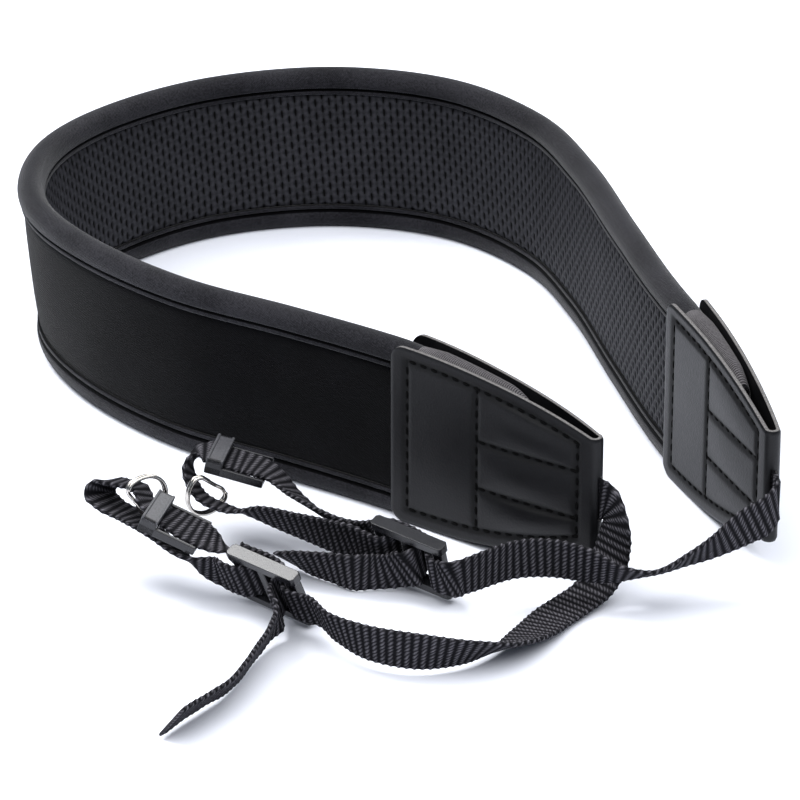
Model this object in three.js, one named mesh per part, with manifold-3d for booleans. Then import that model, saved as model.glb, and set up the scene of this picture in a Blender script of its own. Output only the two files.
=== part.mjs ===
// Padded camera neck strap lying on its long edge: a foam pad in an open loop, a leather tab folded
// round each end, and two webbing straps with their sliders, keepers and split rings.
// Millimetres, +Z up. The loop opens towards -Y and the floor is at z = 0.

import * as THREE from 'three';
import { mergeVertices } from 'three/addons/utils/BufferGeometryUtils.js';
import Module from 'manifold-3d';

// Driving dimensions

const GAP = 0.3;

const PAD = {
  height: 60,
  panel: 3.05,
  halfPanel: 3.2,
  halfBinding: 4.6,
  bindingWall: 1.1,
  bindingReach: 8.5,
  bindingLip: 1.5,
  restTurn: 58,
  crown: 0.5,
  crownShare: 0.6,
  steps: 36,
  stepsInTab: 6,
};

const TAB = {
  length: 75,
  wideHeight: 61,
  foldHeight: 38,
  leather: 1.5,
  foldRoom: 1.2,
  wideRoom: 4.95,
  taper: 2.5,
  closing: 0.8,
  padReach: 0.68,
  padInset: 0.5,
  insetShare: 0.2,
  corner: 5,
  puff: 0.9,
  seams: { wide: 0.085, middle: 0.45, fold: 0.94, channel: 0.27, border: 0.84 },
  slotDepth: 8,
  steps: 14,
};

const WEBBING = {
  width: 14,
  narrow: 13.2,
  thickness: 1.4,
  stepsPerRow: 3,
  startInTab: 21,
  pastTab: 3,
  height: 29,
};

const SLIDER = {
  length: 27.5,
  width: 21,
  sideThickness: 4.4,
  chamfer: 1.2,
  bar: 3.2,
  barThickness: 3.4,
  barInset: 0.7,
  middleShift: -1.2,
};

const KEEPER = {
  length: 19,
  width: 17,
  rail: 1.3,
  railDrop: 1,
  floor: 1.2,
  bridge: 5.5,
  rib: 0.9,
  endBar: 3,
  wall: 1.5,
  room: 2.6,
};

const RING = {
  halfWidth: 6.5,
  corner: 2.6,
  rise: 8,
  wire: 0.62,
  sides: 6,
  steps: 42,
  turns: { from: 0.02, to: 1.87 },
  crossing: { from: 0.9, to: 1 },
};

// Route of the pad's middle line on the floor, from the fold of the left tab to the fold of the right one.
// Flare is how far the upper edge leans out past the lower one.

const PAD_ROUTE = [
  { x: 63.4, y: -83.9, flare: 0 },
  { x: 35, y: -62.5, flare: 0 },
  { x: 4, y: -36.5, flare: 0 },
  { x: -30, y: -13.5, flare: 0 },
  { x: -66, y: 9, flare: 0 },
  { x: -96, y: 40, flare: 2 },
  { x: -113, y: 70, flare: 5 },
  { x: -117.5, y: 95, flare: 6 },
  { x: -113, y: 124, flare: 5 },
  { x: -96, y: 152, flare: 2 },
  { x: -62, y: 178, flare: 0 },
  { x: -18, y: 187.5, flare: 0 },
  { x: 22, y: 176, flare: 0 },
  { x: 51, y: 145, flare: 0 },
  { x: 66, y: 106, flare: 0 },
  { x: 78, y: 56, flare: 0 },
  { x: 89.5, y: 9.5, flare: 0 },
  { x: 103, y: -33, flare: 0 },
  { x: 117.9, y: -78.4, flare: 0 },
];

// Places of the hard pieces on the webbing: heading and pitch of the long axis, and how far the upper edge
// leans out of the upright

const SLIDER_LEFT = { x: -34.8, y: -108.6, z: 11.5, heading: -41.6, pitch: -0.7, lean: 24.6 };
const SLIDER_RIGHT = { x: 8.1, y: -93.4, z: 12.9, heading: -38.5, pitch: -2.1, lean: 17 };
const KEEPER_LEFT = { x: -64.6, y: -90.5, z: 23.3, heading: 165, pitch: 21, lean: -93 };
const KEEPER_RIGHT = { x: -46.2, y: -49, z: 23.4, heading: 169, pitch: 12, lean: -91 };

// Webbing between its threaded stretches. Heading and rise give the direction of the strap's upper edge,
// and width is given where the strap is bunched inside a ring.

// The strap's way from its tab through either slider

const MAIN_IN_SLIDER = [
  { along: 19.5, front: 2.4 },
  { along: 14, front: 3.2 },
  { along: 9.9, front: 3.2 },
  { along: 6.8, front: 0.6 },
  { along: 4.6, front: -3.4 },
  { along: -1, front: -5.2 },
  { along: -11.6, front: -5.1 },
];

// Left strap

const LEFT_FROM_TAB = [
  { x: 68.4, y: -88.2, z: 28, heading: 296, rise: 80 },
  { x: 70, y: -91, z: 23.5, heading: 310, rise: 60 },
  { x: 69.4, y: -92, z: 15.5, heading: 320, rise: 30 },
  { x: 66.8, y: -93, z: 7.4, heading: 325, rise: 10 },
  { x: 62.6, y: -96.8, z: 3, heading: 325, rise: 3 },
  { x: 57, y: -103, z: 1.9, heading: 326, rise: 0 },
  { x: 50.8, y: -111, z: 1.8, heading: 322, rise: 0 },
  { x: 44.4, y: -122.5, z: 2.8, heading: 306, rise: 9 },
  { x: 35.4, y: -136, z: 5, heading: 272, rise: 27 },
  { x: 24.8, y: -143, z: 7, heading: 268, rise: 54 },
  { x: 9, y: -145, z: 8.5, heading: 266, rise: 78 },
  { x: -6, y: -141, z: 9.4, heading: 262, rise: 76 },
  { x: -16, y: -132.6, z: 9.8, heading: 246, rise: 64 },
];

const LEFT_PAST_SLIDER = { along: -16.5, front: -4.8 };

const LEFT_LOOP = [
  { x: -76, y: -79.8, z: 29.6, heading: 244, rise: 4, width: 7 },
  { x: -80.6, y: -76.6, z: 29.7, heading: 236, rise: 10, width: 7.2 },
  { x: -86.2, y: -73.8, z: 28.8, heading: 226, rise: 16, width: 13 },
  { x: -88.6, y: -74.4, z: 25.4, heading: 226, rise: 16 },
  { x: -85.2, y: -77.2, z: 22.6, heading: 228, rise: 16 },
  { x: -78.4, y: -80.8, z: 20.4, heading: 234, rise: 16 },
  { x: -70, y: -87.6, z: 17.2, heading: 238, rise: 26 },
  { x: -60.8, y: -94.8, z: 12.8, heading: 238, rise: 38 },
];

const LEFT_RETURN_IN_SLIDER = [
  { along: -20, front: 3.4 },
  { along: -14.5, front: 3.8 },
  { along: -9.8, front: 3.2 },
  { along: -6.4, front: 0.2 },
  { along: -3, front: -3 },
  { along: -0.6, front: -3.2 },
  { along: 2, front: -2.2 },
  { along: 4, front: 0.6 },
  { along: 5.4, front: 4.6 },
];

const LEFT_TAIL = [
  { x: -33.4, y: -124, z: 8.8, heading: 262, rise: 34 },
  { x: -36, y: -133.2, z: 7.2, heading: 268, rise: 28 },
  { x: -39.6, y: -143.8, z: 6.6, heading: 270, rise: 26 },
  { x: -43.1, y: -153.8, z: 6.5, heading: 270, rise: 26 },
  { x: -47.3, y: -162.8, z: 6.5, heading: 270, rise: 26 },
  { x: -53, y: -170.8, z: 6.5, heading: 270, rise: 26 },
  { x: -58.2, y: -177.8, z: 6.5, heading: 270, rise: 26 },
  { x: -62.6, y: -184.4, z: 6.5, heading: 270, rise: 26 },
];

// Right strap

const RIGHT_FROM_TAB = [
  { x: 119.6, y: -85.2, z: 28.4, heading: 270, rise: 88 },
  { x: 116.4, y: -89.8, z: 26, heading: 270, rise: 86 },
  { x: 109.4, y: -92.4, z: 22.5, heading: 270, rise: 80 },
  { x: 100.9, y: -95, z: 18, heading: 270, rise: 60 },
  { x: 91.9, y: -98.4, z: 15, heading: 270, rise: 42 },
  { x: 80.9, y: -103, z: 12.5, heading: 270, rise: 30 },
  { x: 71, y: -104.6, z: 13.1, heading: 270, rise: 46 },
  { x: 62.2, y: -102.4, z: 14.6, heading: 270, rise: 74 },
  { x: 50.7, y: -98.6, z: 14.5, heading: 270, rise: 84 },
  { x: 39.1, y: -98.6, z: 13, heading: 268, rise: 84 },
];

const RIGHT_TO_KEEPER = [
  { x: -4.8, y: -78, z: 13.4, heading: 264, rise: 52 },
  { x: -13.1, y: -73.2, z: 13.4, heading: 267, rise: 40 },
  { x: -20.6, y: -66.5, z: 14.2, heading: 268, rise: 31 },
  { x: -28.5, y: -58.5, z: 16.2, heading: 265, rise: 20 },
];

const RIGHT_LOOP = [
  { x: -60, y: -47.6, z: 24.8, heading: 256, rise: 2, width: 12 },
  { x: -62, y: -51.8, z: 21.2, heading: 250, rise: 4, width: 7.4 },
  { x: -58.2, y: -57.8, z: 15.8, heading: 250, rise: 6, width: 6.4 },
  { x: -50.3, y: -61.4, z: 13.2, heading: 252, rise: 16, width: 8 },
  { x: -39.4, y: -64, z: 12.4, heading: 258, rise: 46 },
  { x: -27.1, y: -70.4, z: 11.6, heading: 261, rise: 60 },
  { x: -16, y: -78, z: 11.8, heading: 261, rise: 72 },
];

const RIGHT_RETURN_IN_SLIDER = [
  { along: -20, front: 3 },
  { along: -14.5, front: 3.4 },
  { along: -9.8, front: 3.2 },
  { along: -6.4, front: 0.2 },
  { along: -3, front: -3 },
  { along: -0.6, front: -3.2 },
  { along: 1.8, front: -2.2 },
  { along: 2.6, front: 0.4 },
  { along: 1.8, front: 3.2, side: -0.5 },
  { along: -2, front: 4.2, side: -2.6 },
  { along: -6, front: 5.8, side: -3.8 },
];

const RIGHT_TAIL = [
  { x: -4, y: -92, z: 7.2, heading: 262, rise: 78 },
  { x: -10.5, y: -92.7, z: 7.2, heading: 266, rise: 78 },
  { x: -17.5, y: -89.2, z: 7, heading: 268, rise: 66 },
  { x: -24.8, y: -85.4, z: 6.6, heading: 270, rise: 53 },
  { x: -32.2, y: -81, z: 6.4, heading: 270, rise: 32 },
];

// Split rings: middle, direction of the straight side and direction of the ring's axis

const RING_LEFT = {
  x: -73,
  y: -80.2,
  z: 28.2,
  side: { heading: 10, rise: -60 },
  axis: { heading: 298, rise: 10 },
};
const RING_RIGHT = {
  x: -57.4,
  y: -57.8,
  z: 15.2,
  side: { heading: 202, rise: 39 },
  axis: { heading: 295, rise: 3 },
};

// Middle of the part's box on the floor, which becomes its origin

const MIDDLE = new THREE.Vector3(-1.88, 2.25, 0);

// Directions and frames

const UP = new THREE.Vector3(0, 0, 1);

function pointing(heading, rise) {
  const turn = THREE.MathUtils.degToRad(heading);
  const tilt = THREE.MathUtils.degToRad(rise);
  return new THREE.Vector3(Math.cos(tilt) * Math.cos(turn), Math.cos(tilt) * Math.sin(turn), Math.sin(tilt));
}

function square(direction, to) {
  return direction.clone().addScaledVector(to, -direction.dot(to)).normalize();
}

// A hard piece's frame: along its long axis, edge towards its upper side, front across both
function frameOf(place) {
  const along = pointing(place.heading, place.pitch);
  const upright = square(UP, along);
  const side = new THREE.Vector3().crossVectors(along, upright);
  const lean = THREE.MathUtils.degToRad(place.lean);
  const edge = upright.multiplyScalar(Math.cos(lean)).addScaledVector(side, Math.sin(lean));
  const front = new THREE.Vector3().crossVectors(along, edge);
  const middle = new THREE.Vector3(place.x, place.y, place.z);
  return { middle, along, edge, front };
}

// Strap rows inside a hard piece, given by their place along it, over its front and towards its upper edge
function threaded({ middle, along, edge, front }, rows, fullWidth) {
  return rows.map((row) => {
    const { side = 0, width = fullWidth } = row;
    const at = middle.clone().addScaledVector(along, row.along);
    at.addScaledVector(front, row.front).addScaledVector(edge, side);
    return { at, edge, width };
  });
}

function laid(rows) {
  return rows.map(({ x, y, z, heading, rise, width = WEBBING.width }) => ({
    at: new THREE.Vector3(x, y, z),
    edge: pointing(heading, rise),
    width,
  }));
}

// Solids

// A closed solid through loops of points that correspond one to one, with flat ends. Each loop runs
// anticlockwise seen from the far end, and each cell is split along its shorter diagonal.
function loft(loops, outline) {
  const count = loops[0].length;
  const points = loops.flat();
  const index = [];
  for (let ring = 0; ring + 1 < loops.length; ring += 1) {
    for (let i = 0; i < count; i += 1) {
      const a = ring * count + i;
      const b = ring * count + ((i + 1) % count);
      const c = b + count;
      const d = a + count;
      const straight = points[a].distanceTo(points[c]) <= points[b].distanceTo(points[d]);
      index.push(...(straight ? [a, b, c, a, c, d] : [a, b, d, b, c, d]));
    }
  }
  const last = (loops.length - 1) * count;
  const mirrored = THREE.ShapeUtils.isClockWise(outline);
  for (const face of THREE.ShapeUtils.triangulateShape(outline, [])) {
    const [a, b, c] = mirrored ? face.toReversed() : face;
    index.push(a, c, b, last + a, last + b, last + c);
  }
  const geometry = new THREE.BufferGeometry();
  const positions = points.flatMap((point) => point.toArray());
  geometry.setAttribute('position', new THREE.Float32BufferAttribute(positions, 3));
  geometry.setIndex(index);
  return geometry;
}

const wasm = await Module();
wasm.setup();

function solidOf(geometry) {
  const bare = geometry.clone();
  bare.deleteAttribute('normal');
  bare.deleteAttribute('uv');
  const merged = mergeVertices(bare, 1e-4);
  return new wasm.Manifold(
    new wasm.Mesh({
      numProp: 3,
      vertProperties: Float32Array.from(merged.attributes.position.array),
      triVerts: Uint32Array.from(merged.index.array),
    }),
  );
}

function geometryOf(solid) {
  const { vertProperties, triVerts } = solid.getMesh();
  const geometry = new THREE.BufferGeometry();
  geometry.setAttribute('position', new THREE.BufferAttribute(new Float32Array(vertProperties), 3));
  geometry.setIndex(new THREE.BufferAttribute(new Uint32Array(triVerts), 1));
  return geometry;
}

function boxAt(length, width, height, x, y, z) {
  return solidOf(new THREE.BoxGeometry(length, width, height).translate(x, y, z));
}

// The pad's route: a point, its direction and its outward side at a distance from the left fold

const padCurve = new THREE.CatmullRomCurve3(
  PAD_ROUTE.map(({ x, y }) => new THREE.Vector3(x, y, 0)),
  false,
  'centripetal',
);
padCurve.arcLengthDivisions = 1000;
const padFlare = new THREE.SplineCurve(PAD_ROUTE.map(({ flare }, i) => new THREE.Vector2(i, flare)));
const PAD_LENGTH = padCurve.getLength();

function padFrame(distance) {
  const share = THREE.MathUtils.clamp(distance / PAD_LENGTH, 0, 1);
  const at = padCurve.getPointAt(share);
  const along = padCurve.getTangentAt(share);
  at.addScaledVector(along, distance - share * PAD_LENGTH);
  const outward = new THREE.Vector3().crossVectors(UP, along);
  const flare = padFlare.getPoint(padCurve.getUtoTmapping(share)).y;
  return { at, along, outward, flare };
}

// How far a distance along the pad lies into the nearer tab: 0 at its wide end, 1 at its fold
function shareOfTab(distance) {
  const toFold = Math.min(distance, PAD_LENGTH - distance);
  return THREE.MathUtils.clamp(1 - toFold / TAB.length, 0, 1);
}

// Half the tab's height, which falls off towards the fold, and half the room between its leaves
function tabHalfHeight(share) {
  return (TAB.wideHeight - (TAB.wideHeight - TAB.foldHeight) * share ** TAB.taper) / 2;
}

function tabHalfRoom(share) {
  return TAB.foldRoom + (TAB.wideRoom - TAB.foldRoom) * (1 - share) ** TAB.closing;
}

// The pad narrows and is pressed thin where the tab holds it
function padSection(distance) {
  const share = shareOfTab(distance);
  const inset = TAB.padInset * Math.min(1, share / TAB.insetShare);
  const half = tabHalfHeight(share) - (TAB.wideHeight - PAD.height) / 2 - inset;
  const press = share > 0 ? (tabHalfRoom(share) - GAP) / PAD.halfBinding : 1;
  return { half, press: Math.min(1, press) };
}

function padStations() {
  const start = TAB.length * (1 - TAB.padReach);
  const stations = [];
  const add = (from, to, steps) => {
    for (let i = 0; i < steps; i += 1) stations.push(from + ((to - from) * i) / steps);
  };
  add(start, TAB.length, PAD.stepsInTab);
  add(TAB.length, PAD_LENGTH - TAB.length, PAD.steps);
  add(PAD_LENGTH - TAB.length, PAD_LENGTH - start, PAD.stepsInTab);
  stations.push(PAD_LENGTH - start);
  return stations;
}

// Carries a section along the pad. A section point gives its depth outwards and its height over the middle.
function alongPad(section) {
  const loops = padStations().map((distance) => {
    const { at, outward, flare } = padFrame(distance);
    const shape = padSection(distance);
    return section(shape).map(({ depth, height }) => {
      const lean = (flare * height) / PAD.height;
      return at.clone().addScaledVector(outward, depth + lean).addScaledVector(UP, PAD.height / 2 + height);
    });
  });
  const endShape = padSection(TAB.length * (1 - TAB.padReach));
  const outline = section(endShape).map(({ depth, height }) => new THREE.Vector2(depth, height));
  return loft(loops, outline);
}

// A foam panel, slightly crowned, whose edges sit inside the bindings
function panel(side) {
  return alongPad(({ half, press }) => {
    const edge = half - PAD.halfBinding + GAP;
    const inner = (PAD.halfPanel - PAD.panel) * press;
    const outer = PAD.halfPanel * press;
    const shoulder = half - PAD.bindingReach - GAP;
    const face = outer + PAD.crown * press;
    const points = [
      { depth: inner, height: -edge },
      { depth: outer, height: -edge },
      { depth: outer, height: -shoulder },
      { depth: face, height: -shoulder * PAD.crownShare },
      { depth: face, height: shoulder * PAD.crownShare },
      { depth: outer, height: shoulder },
      { depth: outer, height: edge },
      { depth: inner, height: edge },
    ];
    const placed = points.map(({ depth, height }) => ({ depth: side * depth, height }));
    return side > 0 ? placed : placed.reverse();
  });
}

// A padded binding folded over a long edge of the panels. The lower one is flattened where it rests.
function binding(side) {
  const flatFrom = PAD.restTurn;
  const turns = side > 0 ? [0, 30, 60, 90, 120, 150, 180] : [0, 30, flatFrom, 180 - flatFrom, 150, 180];
  return alongPad(({ half, press }) => {
    const outer = PAD.halfBinding * press;
    const inner = outer - PAD.bindingWall * press;
    const foot = half - PAD.bindingReach;
    const shoulder = half - PAD.halfBinding;
    const arc = turns.map((turn) => {
      const sine = Math.sin(THREE.MathUtils.degToRad(turn));
      const flat = Math.min(1, sine / Math.sin(THREE.MathUtils.degToRad(flatFrom)));
      return {
        depth: outer * Math.cos(THREE.MathUtils.degToRad(turn)),
        height: shoulder + PAD.halfBinding * (side < 0 ? flat : sine),
      };
    });
    const points = [
      { depth: inner, height: foot },
      { depth: (inner + outer) / 2, height: foot - GAP },
      { depth: outer, height: foot + PAD.bindingLip },
      ...arc,
      { depth: -outer, height: foot + PAD.bindingLip },
      { depth: -(inner + outer) / 2, height: foot - GAP },
      { depth: -inner, height: foot },
      { depth: -inner, height: shoulder + 2 * GAP },
      { depth: inner, height: shoulder + 2 * GAP },
    ];
    const placed = points.map(({ depth, height }) => ({ depth, height: side * height }));
    return side > 0 ? placed : placed.reverse();
  });
}

// Leather tabs

// The leather puffs up between its seams and is drawn in along them. Height is a share of the half height.
function puffOf(share, height) {
  const { wide, middle, fold, channel, border } = TAB.seams;
  const cell = (from, to) => THREE.MathUtils.clamp((share - from) / (to - from), 0, 1);
  const level = Math.abs(height);
  if (level >= border) return 0;
  if (share < middle) {
    return Math.sin(Math.PI * cell(wide, middle)) * Math.cos((Math.PI / 2) * (level / border));
  }
  const lengthwise = Math.sin(Math.PI * cell(middle, fold));
  const crosswise = level < channel
    ? Math.cos((Math.PI / 2) * (level / channel))
    : Math.sin((Math.PI * (level - channel)) / (border - channel));
  return lengthwise * crosswise;
}

// One sheet of leather folded round the pad's end: down the outer leaf, round the fold and back along the
// inner leaf. Its corners are rounded at the wide end, and a slot in the fold lets the webbing out.
function tab(end) {
  const { wide, channel, border } = TAB.seams;
  const upperRows = [channel, (channel + border) / 2, border, 1];
  const rows = [...upperRows.map((height) => -height).reverse(), 0, ...upperRows];
  const fromEnd = (toFold) => (end < 0 ? toFold : PAD_LENGTH - toFold);
  const stops = [];
  const wideStops = [0, 0.23 * wide, 0.54 * wide, wide];
  for (const share of wideStops) stops.push({ share, turn: 0 });
  for (let i = 1; i < TAB.steps; i += 1) {
    stops.push({ share: wide + ((1 - wide) * i) / TAB.steps, turn: 0 });
  }
  const foldTurns = [0, 30, 60, 90];
  for (const turn of foldTurns) stops.push({ share: 1, turn });
  const outerLeaf = stops.map((stop) => ({ ...stop, side: 1 }));
  const innerLeaf = stops.slice(0, -1).reverse().map((stop) => ({ ...stop, side: -1 }));
  const loops = [...outerLeaf, ...innerLeaf].map(({ share, turn, side }) => {
    const { at, along, outward } = padFrame(fromEnd(TAB.length * (1 - share)));
    const ahead = along.clone().multiplyScalar(end);
    const corner = Math.max(0, 1 - (share * TAB.length) / TAB.corner);
    const half = tabHalfHeight(share) - TAB.corner * (1 - Math.sqrt(1 - corner ** 2));
    const bend = THREE.MathUtils.degToRad(turn);
    const face = (depth, height) => {
      const sideways = depth * Math.cos(bend) * side;
      return at
        .clone()
        .addScaledVector(outward, sideways)
        .addScaledVector(ahead, depth * Math.sin(bend))
        .addScaledVector(UP, TAB.wideHeight / 2 + height * half);
    };
    const inner = tabHalfRoom(share);
    const outer = rows.map((height) => face(inner + TAB.leather + TAB.puff * puffOf(share, height), height));
    const lining = rows.map((height) => face(inner, height)).reverse();
    const loop = [...outer, ...lining];
    return end < 0 ? loop.reverse() : loop;
  });
  const bowed = (depth, height) => new THREE.Vector2(depth - height ** 2 / 2, height);
  const outline = [...rows.map((height) => bowed(1, height)), ...rows.map((height) => bowed(0, -height))];
  if (end < 0) outline.reverse();
  const slotHeight = WEBBING.width + 2 * GAP;
  const slotWidth = WEBBING.thickness + 2 * GAP;
  const { at, along } = padFrame(fromEnd(0));
  const slot = new THREE.BoxGeometry(TAB.slotDepth, slotWidth, slotHeight)
    .rotateZ(Math.atan2(along.y, along.x))
    .translate(at.x, at.y, WEBBING.height);
  return geometryOf(solidOf(loft(loops, outline)).subtract(solidOf(slot)));
}

// Webbing

// A flat strap through its rows: the middle line and the direction of its upper edge are both smooth curves
function strap(rows) {
  const middle = new THREE.CatmullRomCurve3(rows.map(({ at }) => at), false, 'centripetal');
  const edges = new THREE.CatmullRomCurve3(rows.map(({ edge }) => edge), false, 'catmullrom');
  const widths = new THREE.SplineCurve(rows.map(({ width }, i) => new THREE.Vector2(i, width)));
  const steps = (rows.length - 1) * WEBBING.stepsPerRow;
  const loops = [];
  for (let i = 0; i <= steps; i += 1) {
    const share = i / steps;
    const at = middle.getPoint(share);
    const along = middle.getTangent(share);
    const edge = square(edges.getPoint(share), along).multiplyScalar(widths.getPoint(share).y / 2);
    const face = new THREE.Vector3().crossVectors(along, edge).setLength(WEBBING.thickness / 2);
    loops.push([
      at.clone().add(edge).add(face),
      at.clone().sub(edge).add(face),
      at.clone().sub(edge).sub(face),
      at.clone().add(edge).sub(face),
    ]);
  }
  const half = { width: WEBBING.width / 2, face: WEBBING.thickness / 2 };
  const outline = [
    new THREE.Vector2(half.width, half.face),
    new THREE.Vector2(-half.width, half.face),
    new THREE.Vector2(-half.width, -half.face),
    new THREE.Vector2(half.width, -half.face),
  ];
  return loft(loops, outline);
}

// Rows of a strap from inside its tab to just past the slot in the fold
function fromTab(end) {
  const stops = [-WEBBING.startInTab, -WEBBING.startInTab / 2, 0, WEBBING.pastTab];
  return stops.map((past) => {
    const { at } = padFrame(end < 0 ? -past : PAD_LENGTH + past);
    return { at: at.setZ(WEBBING.height), edge: UP, width: WEBBING.width };
  });
}

// Hard pieces

// A three-bar slider in its own frame: x along it, y towards its upper edge, z to its front. Its two side
// plates have chamfered ends and are thicker than the bars between them.
function slider() {
  const { length, width, sideThickness, chamfer, bar, barThickness, barInset, middleShift } = SLIDER;
  const opening = WEBBING.width + 4 * GAP;
  const plate = (width - opening) / 2;
  const x = length / 2;
  const z = sideThickness / 2;
  const outline = new THREE.Shape();
  outline.moveTo(x, -z + chamfer);
  outline.lineTo(x, z - chamfer);
  outline.lineTo(x - chamfer, z);
  outline.lineTo(-x + chamfer, z);
  outline.lineTo(-x, z - chamfer);
  outline.lineTo(-x, -z + chamfer);
  outline.lineTo(-x + chamfer, -z);
  outline.lineTo(x - chamfer, -z);
  const sidePlate = new THREE.ExtrudeGeometry(outline, { depth: plate, bevelEnabled: false }).rotateX(Math.PI / 2);
  let solid = solidOf(sidePlate.clone().translate(0, width / 2, 0));
  solid = solid.add(solidOf(sidePlate.translate(0, plate - width / 2, 0)));
  const endBar = x - barInset - bar / 2;
  for (const place of [-endBar, middleShift, endBar]) {
    solid = solid.add(boxAt(bar, opening + plate, barThickness, place, 0, 0));
  }
  return geometryOf(solid);
}

// A keeper: a raised bridge over the strap at its outer end, two low rails, and bars under the strap
function keeper() {
  const { length, width, rail, railDrop, floor, bridge, rib, endBar, wall, room } = KEEPER;
  const under = -room / 2 - floor / 2;
  const over = room / 2 + wall / 2;
  const railHeight = room + floor;
  const bridgeAt = (length - bridge) / 2;
  let solid = boxAt(endBar, width, floor, -(length - endBar) / 2, 0, under);
  const pieces = [
    boxAt(bridge, width, floor, bridgeAt, 0, under),
    boxAt(bridge, width, wall, bridgeAt, 0, over),
    boxAt(rib, width, 2 * rib, length / 2 - rib / 2, 0, over + rib / 2),
    boxAt(rib, width, 2 * rib, length / 2 - bridge + rib / 2, 0, over + rib / 2),
  ];
  for (const side of [-1, 1]) {
    const y = (side * (width - rail)) / 2;
    const lowHeight = railHeight - railDrop;
    pieces.push(boxAt(length, rail, lowHeight, 0, y, under - floor / 2 + lowHeight / 2));
    pieces.push(boxAt(bridge, rail, railHeight + wall, bridgeAt, y, (wall - floor) / 2));
  }
  for (const piece of pieces) solid = solid.add(piece);
  return geometryOf(solid);
}

// A split ring of round wire: a D-shaped outline wound nearly twice, its two turns side by side
function splitRing() {
  const { halfWidth, corner, rise, wire, sides, steps, turns, crossing } = RING;
  const outline = new THREE.Path();
  const flat = halfWidth - corner;
  outline.moveTo(0, 0);
  outline.lineTo(flat, 0);
  outline.absarc(flat, corner, corner, -Math.PI / 2, 0, false);
  outline.absellipse(0, corner, halfWidth, rise, 0, Math.PI, false);
  outline.absarc(-flat, corner, corner, Math.PI, Math.PI * 1.5, false);
  outline.lineTo(0, 0);
  const middle = (corner + rise) / 2;
  const apart = wire + GAP / 4;
  const loops = [];
  for (let i = 0; i <= steps; i += 1) {
    const turn = turns.from + ((turns.to - turns.from) * i) / steps;
    const point = outline.getPointAt(turn % 1);
    const along = outline.getTangentAt(turn % 1);
    const lift = apart * (2 * THREE.MathUtils.smoothstep(turn, crossing.from, crossing.to) - 1);
    const loop = [];
    for (let side = 0; side < sides; side += 1) {
      const angle = (2 * Math.PI * side) / sides;
      const out = wire * Math.cos(angle);
      const x = point.x + along.y * out;
      const y = point.y - along.x * out - middle;
      loop.push(new THREE.Vector3(x, y, lift + wire * Math.sin(angle)));
    }
    loops.push(loop.reverse());
  }
  const section = loops[0].map((_, side) => {
    const angle = (-2 * Math.PI * side) / sides;
    return new THREE.Vector2(Math.cos(angle), Math.sin(angle));
  });
  return loft(loops, section.reverse());
}

// Assembly

const object = new THREE.Group();

function add(name, geometry, look, place = new THREE.Matrix4()) {
  const mesh = new THREE.Mesh(geometry, new THREE.MeshStandardMaterial(look));
  mesh.name = name;
  mesh.applyMatrix4(place);
  mesh.position.sub(MIDDLE);
  object.add(mesh);
}

function placeOf({ middle, along, edge, front }) {
  return new THREE.Matrix4().makeBasis(along, edge, front).setPosition(middle);
}

function placeOfRing({ x, y, z, side, axis }) {
  const out = pointing(axis.heading, axis.rise);
  const across = square(pointing(side.heading, side.rise), out);
  const rise = new THREE.Vector3().crossVectors(out, across);
  return new THREE.Matrix4().makeBasis(across, rise, out).setPosition(x, y, z);
}

const FOAM = { color: 0x18191b, roughness: 0.85, metalness: 0 };
const LEATHER = { color: 0x26272a, roughness: 0.5, metalness: 0 };
const WEAVE = { color: 0x141416, roughness: 0.8, metalness: 0 };
const PLASTIC = { color: 0x2b2c2f, roughness: 0.4, metalness: 0 };
const NICKEL = { color: 0xc9c7c2, roughness: 0.2, metalness: 1 };

const sliderLeft = frameOf(SLIDER_LEFT);
const sliderRight = frameOf(SLIDER_RIGHT);
const keeperLeft = frameOf(KEEPER_LEFT);
const keeperRight = frameOf(KEEPER_RIGHT);
const inRightKeeper = [
  { along: -KEEPER.length / 2 - 1, front: 0, side: 1.4, width: 10.4 },
  { along: -KEEPER.length / 6, front: 0 },
  { along: KEEPER.length / 6, front: 0 },
  { along: KEEPER.length / 2 + 1, front: 0 },
];
const inLeftKeeper = [
  { along: -KEEPER.length / 2 - 1, front: 0 },
  { along: -KEEPER.length / 6, front: 0 },
  { along: KEEPER.length / 6, front: 0, side: -1, width: 11 },
  { along: KEEPER.length / 2 + 1, front: 0, side: -3, width: 7.6 },
];

add('outer_panel', panel(1), FOAM);
add('inner_panel', panel(-1), FOAM);
add('top_binding', binding(1), FOAM);
add('bottom_binding', binding(-1), FOAM);
add('tab_left', tab(-1), LEATHER);
add('tab_right', tab(1), LEATHER);

add('webbing_left', strap([
  ...fromTab(-1),
  ...laid(LEFT_FROM_TAB),
  ...threaded(sliderLeft, [...MAIN_IN_SLIDER, LEFT_PAST_SLIDER], WEBBING.width),
  ...threaded(keeperLeft, inLeftKeeper, WEBBING.narrow),
  ...laid(LEFT_LOOP),
  ...threaded(sliderLeft, LEFT_RETURN_IN_SLIDER, WEBBING.width),
  ...laid(LEFT_TAIL),
]), WEAVE);

add('webbing_right', strap([
  ...fromTab(1),
  ...laid(RIGHT_FROM_TAB),
  ...threaded(sliderRight, MAIN_IN_SLIDER, WEBBING.width),
  ...laid(RIGHT_TO_KEEPER),
  ...threaded(keeperRight, inRightKeeper, WEBBING.narrow),
  ...laid(RIGHT_LOOP),
  ...threaded(sliderRight, RIGHT_RETURN_IN_SLIDER, WEBBING.width),
  ...laid(RIGHT_TAIL),
]), WEAVE);

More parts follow.
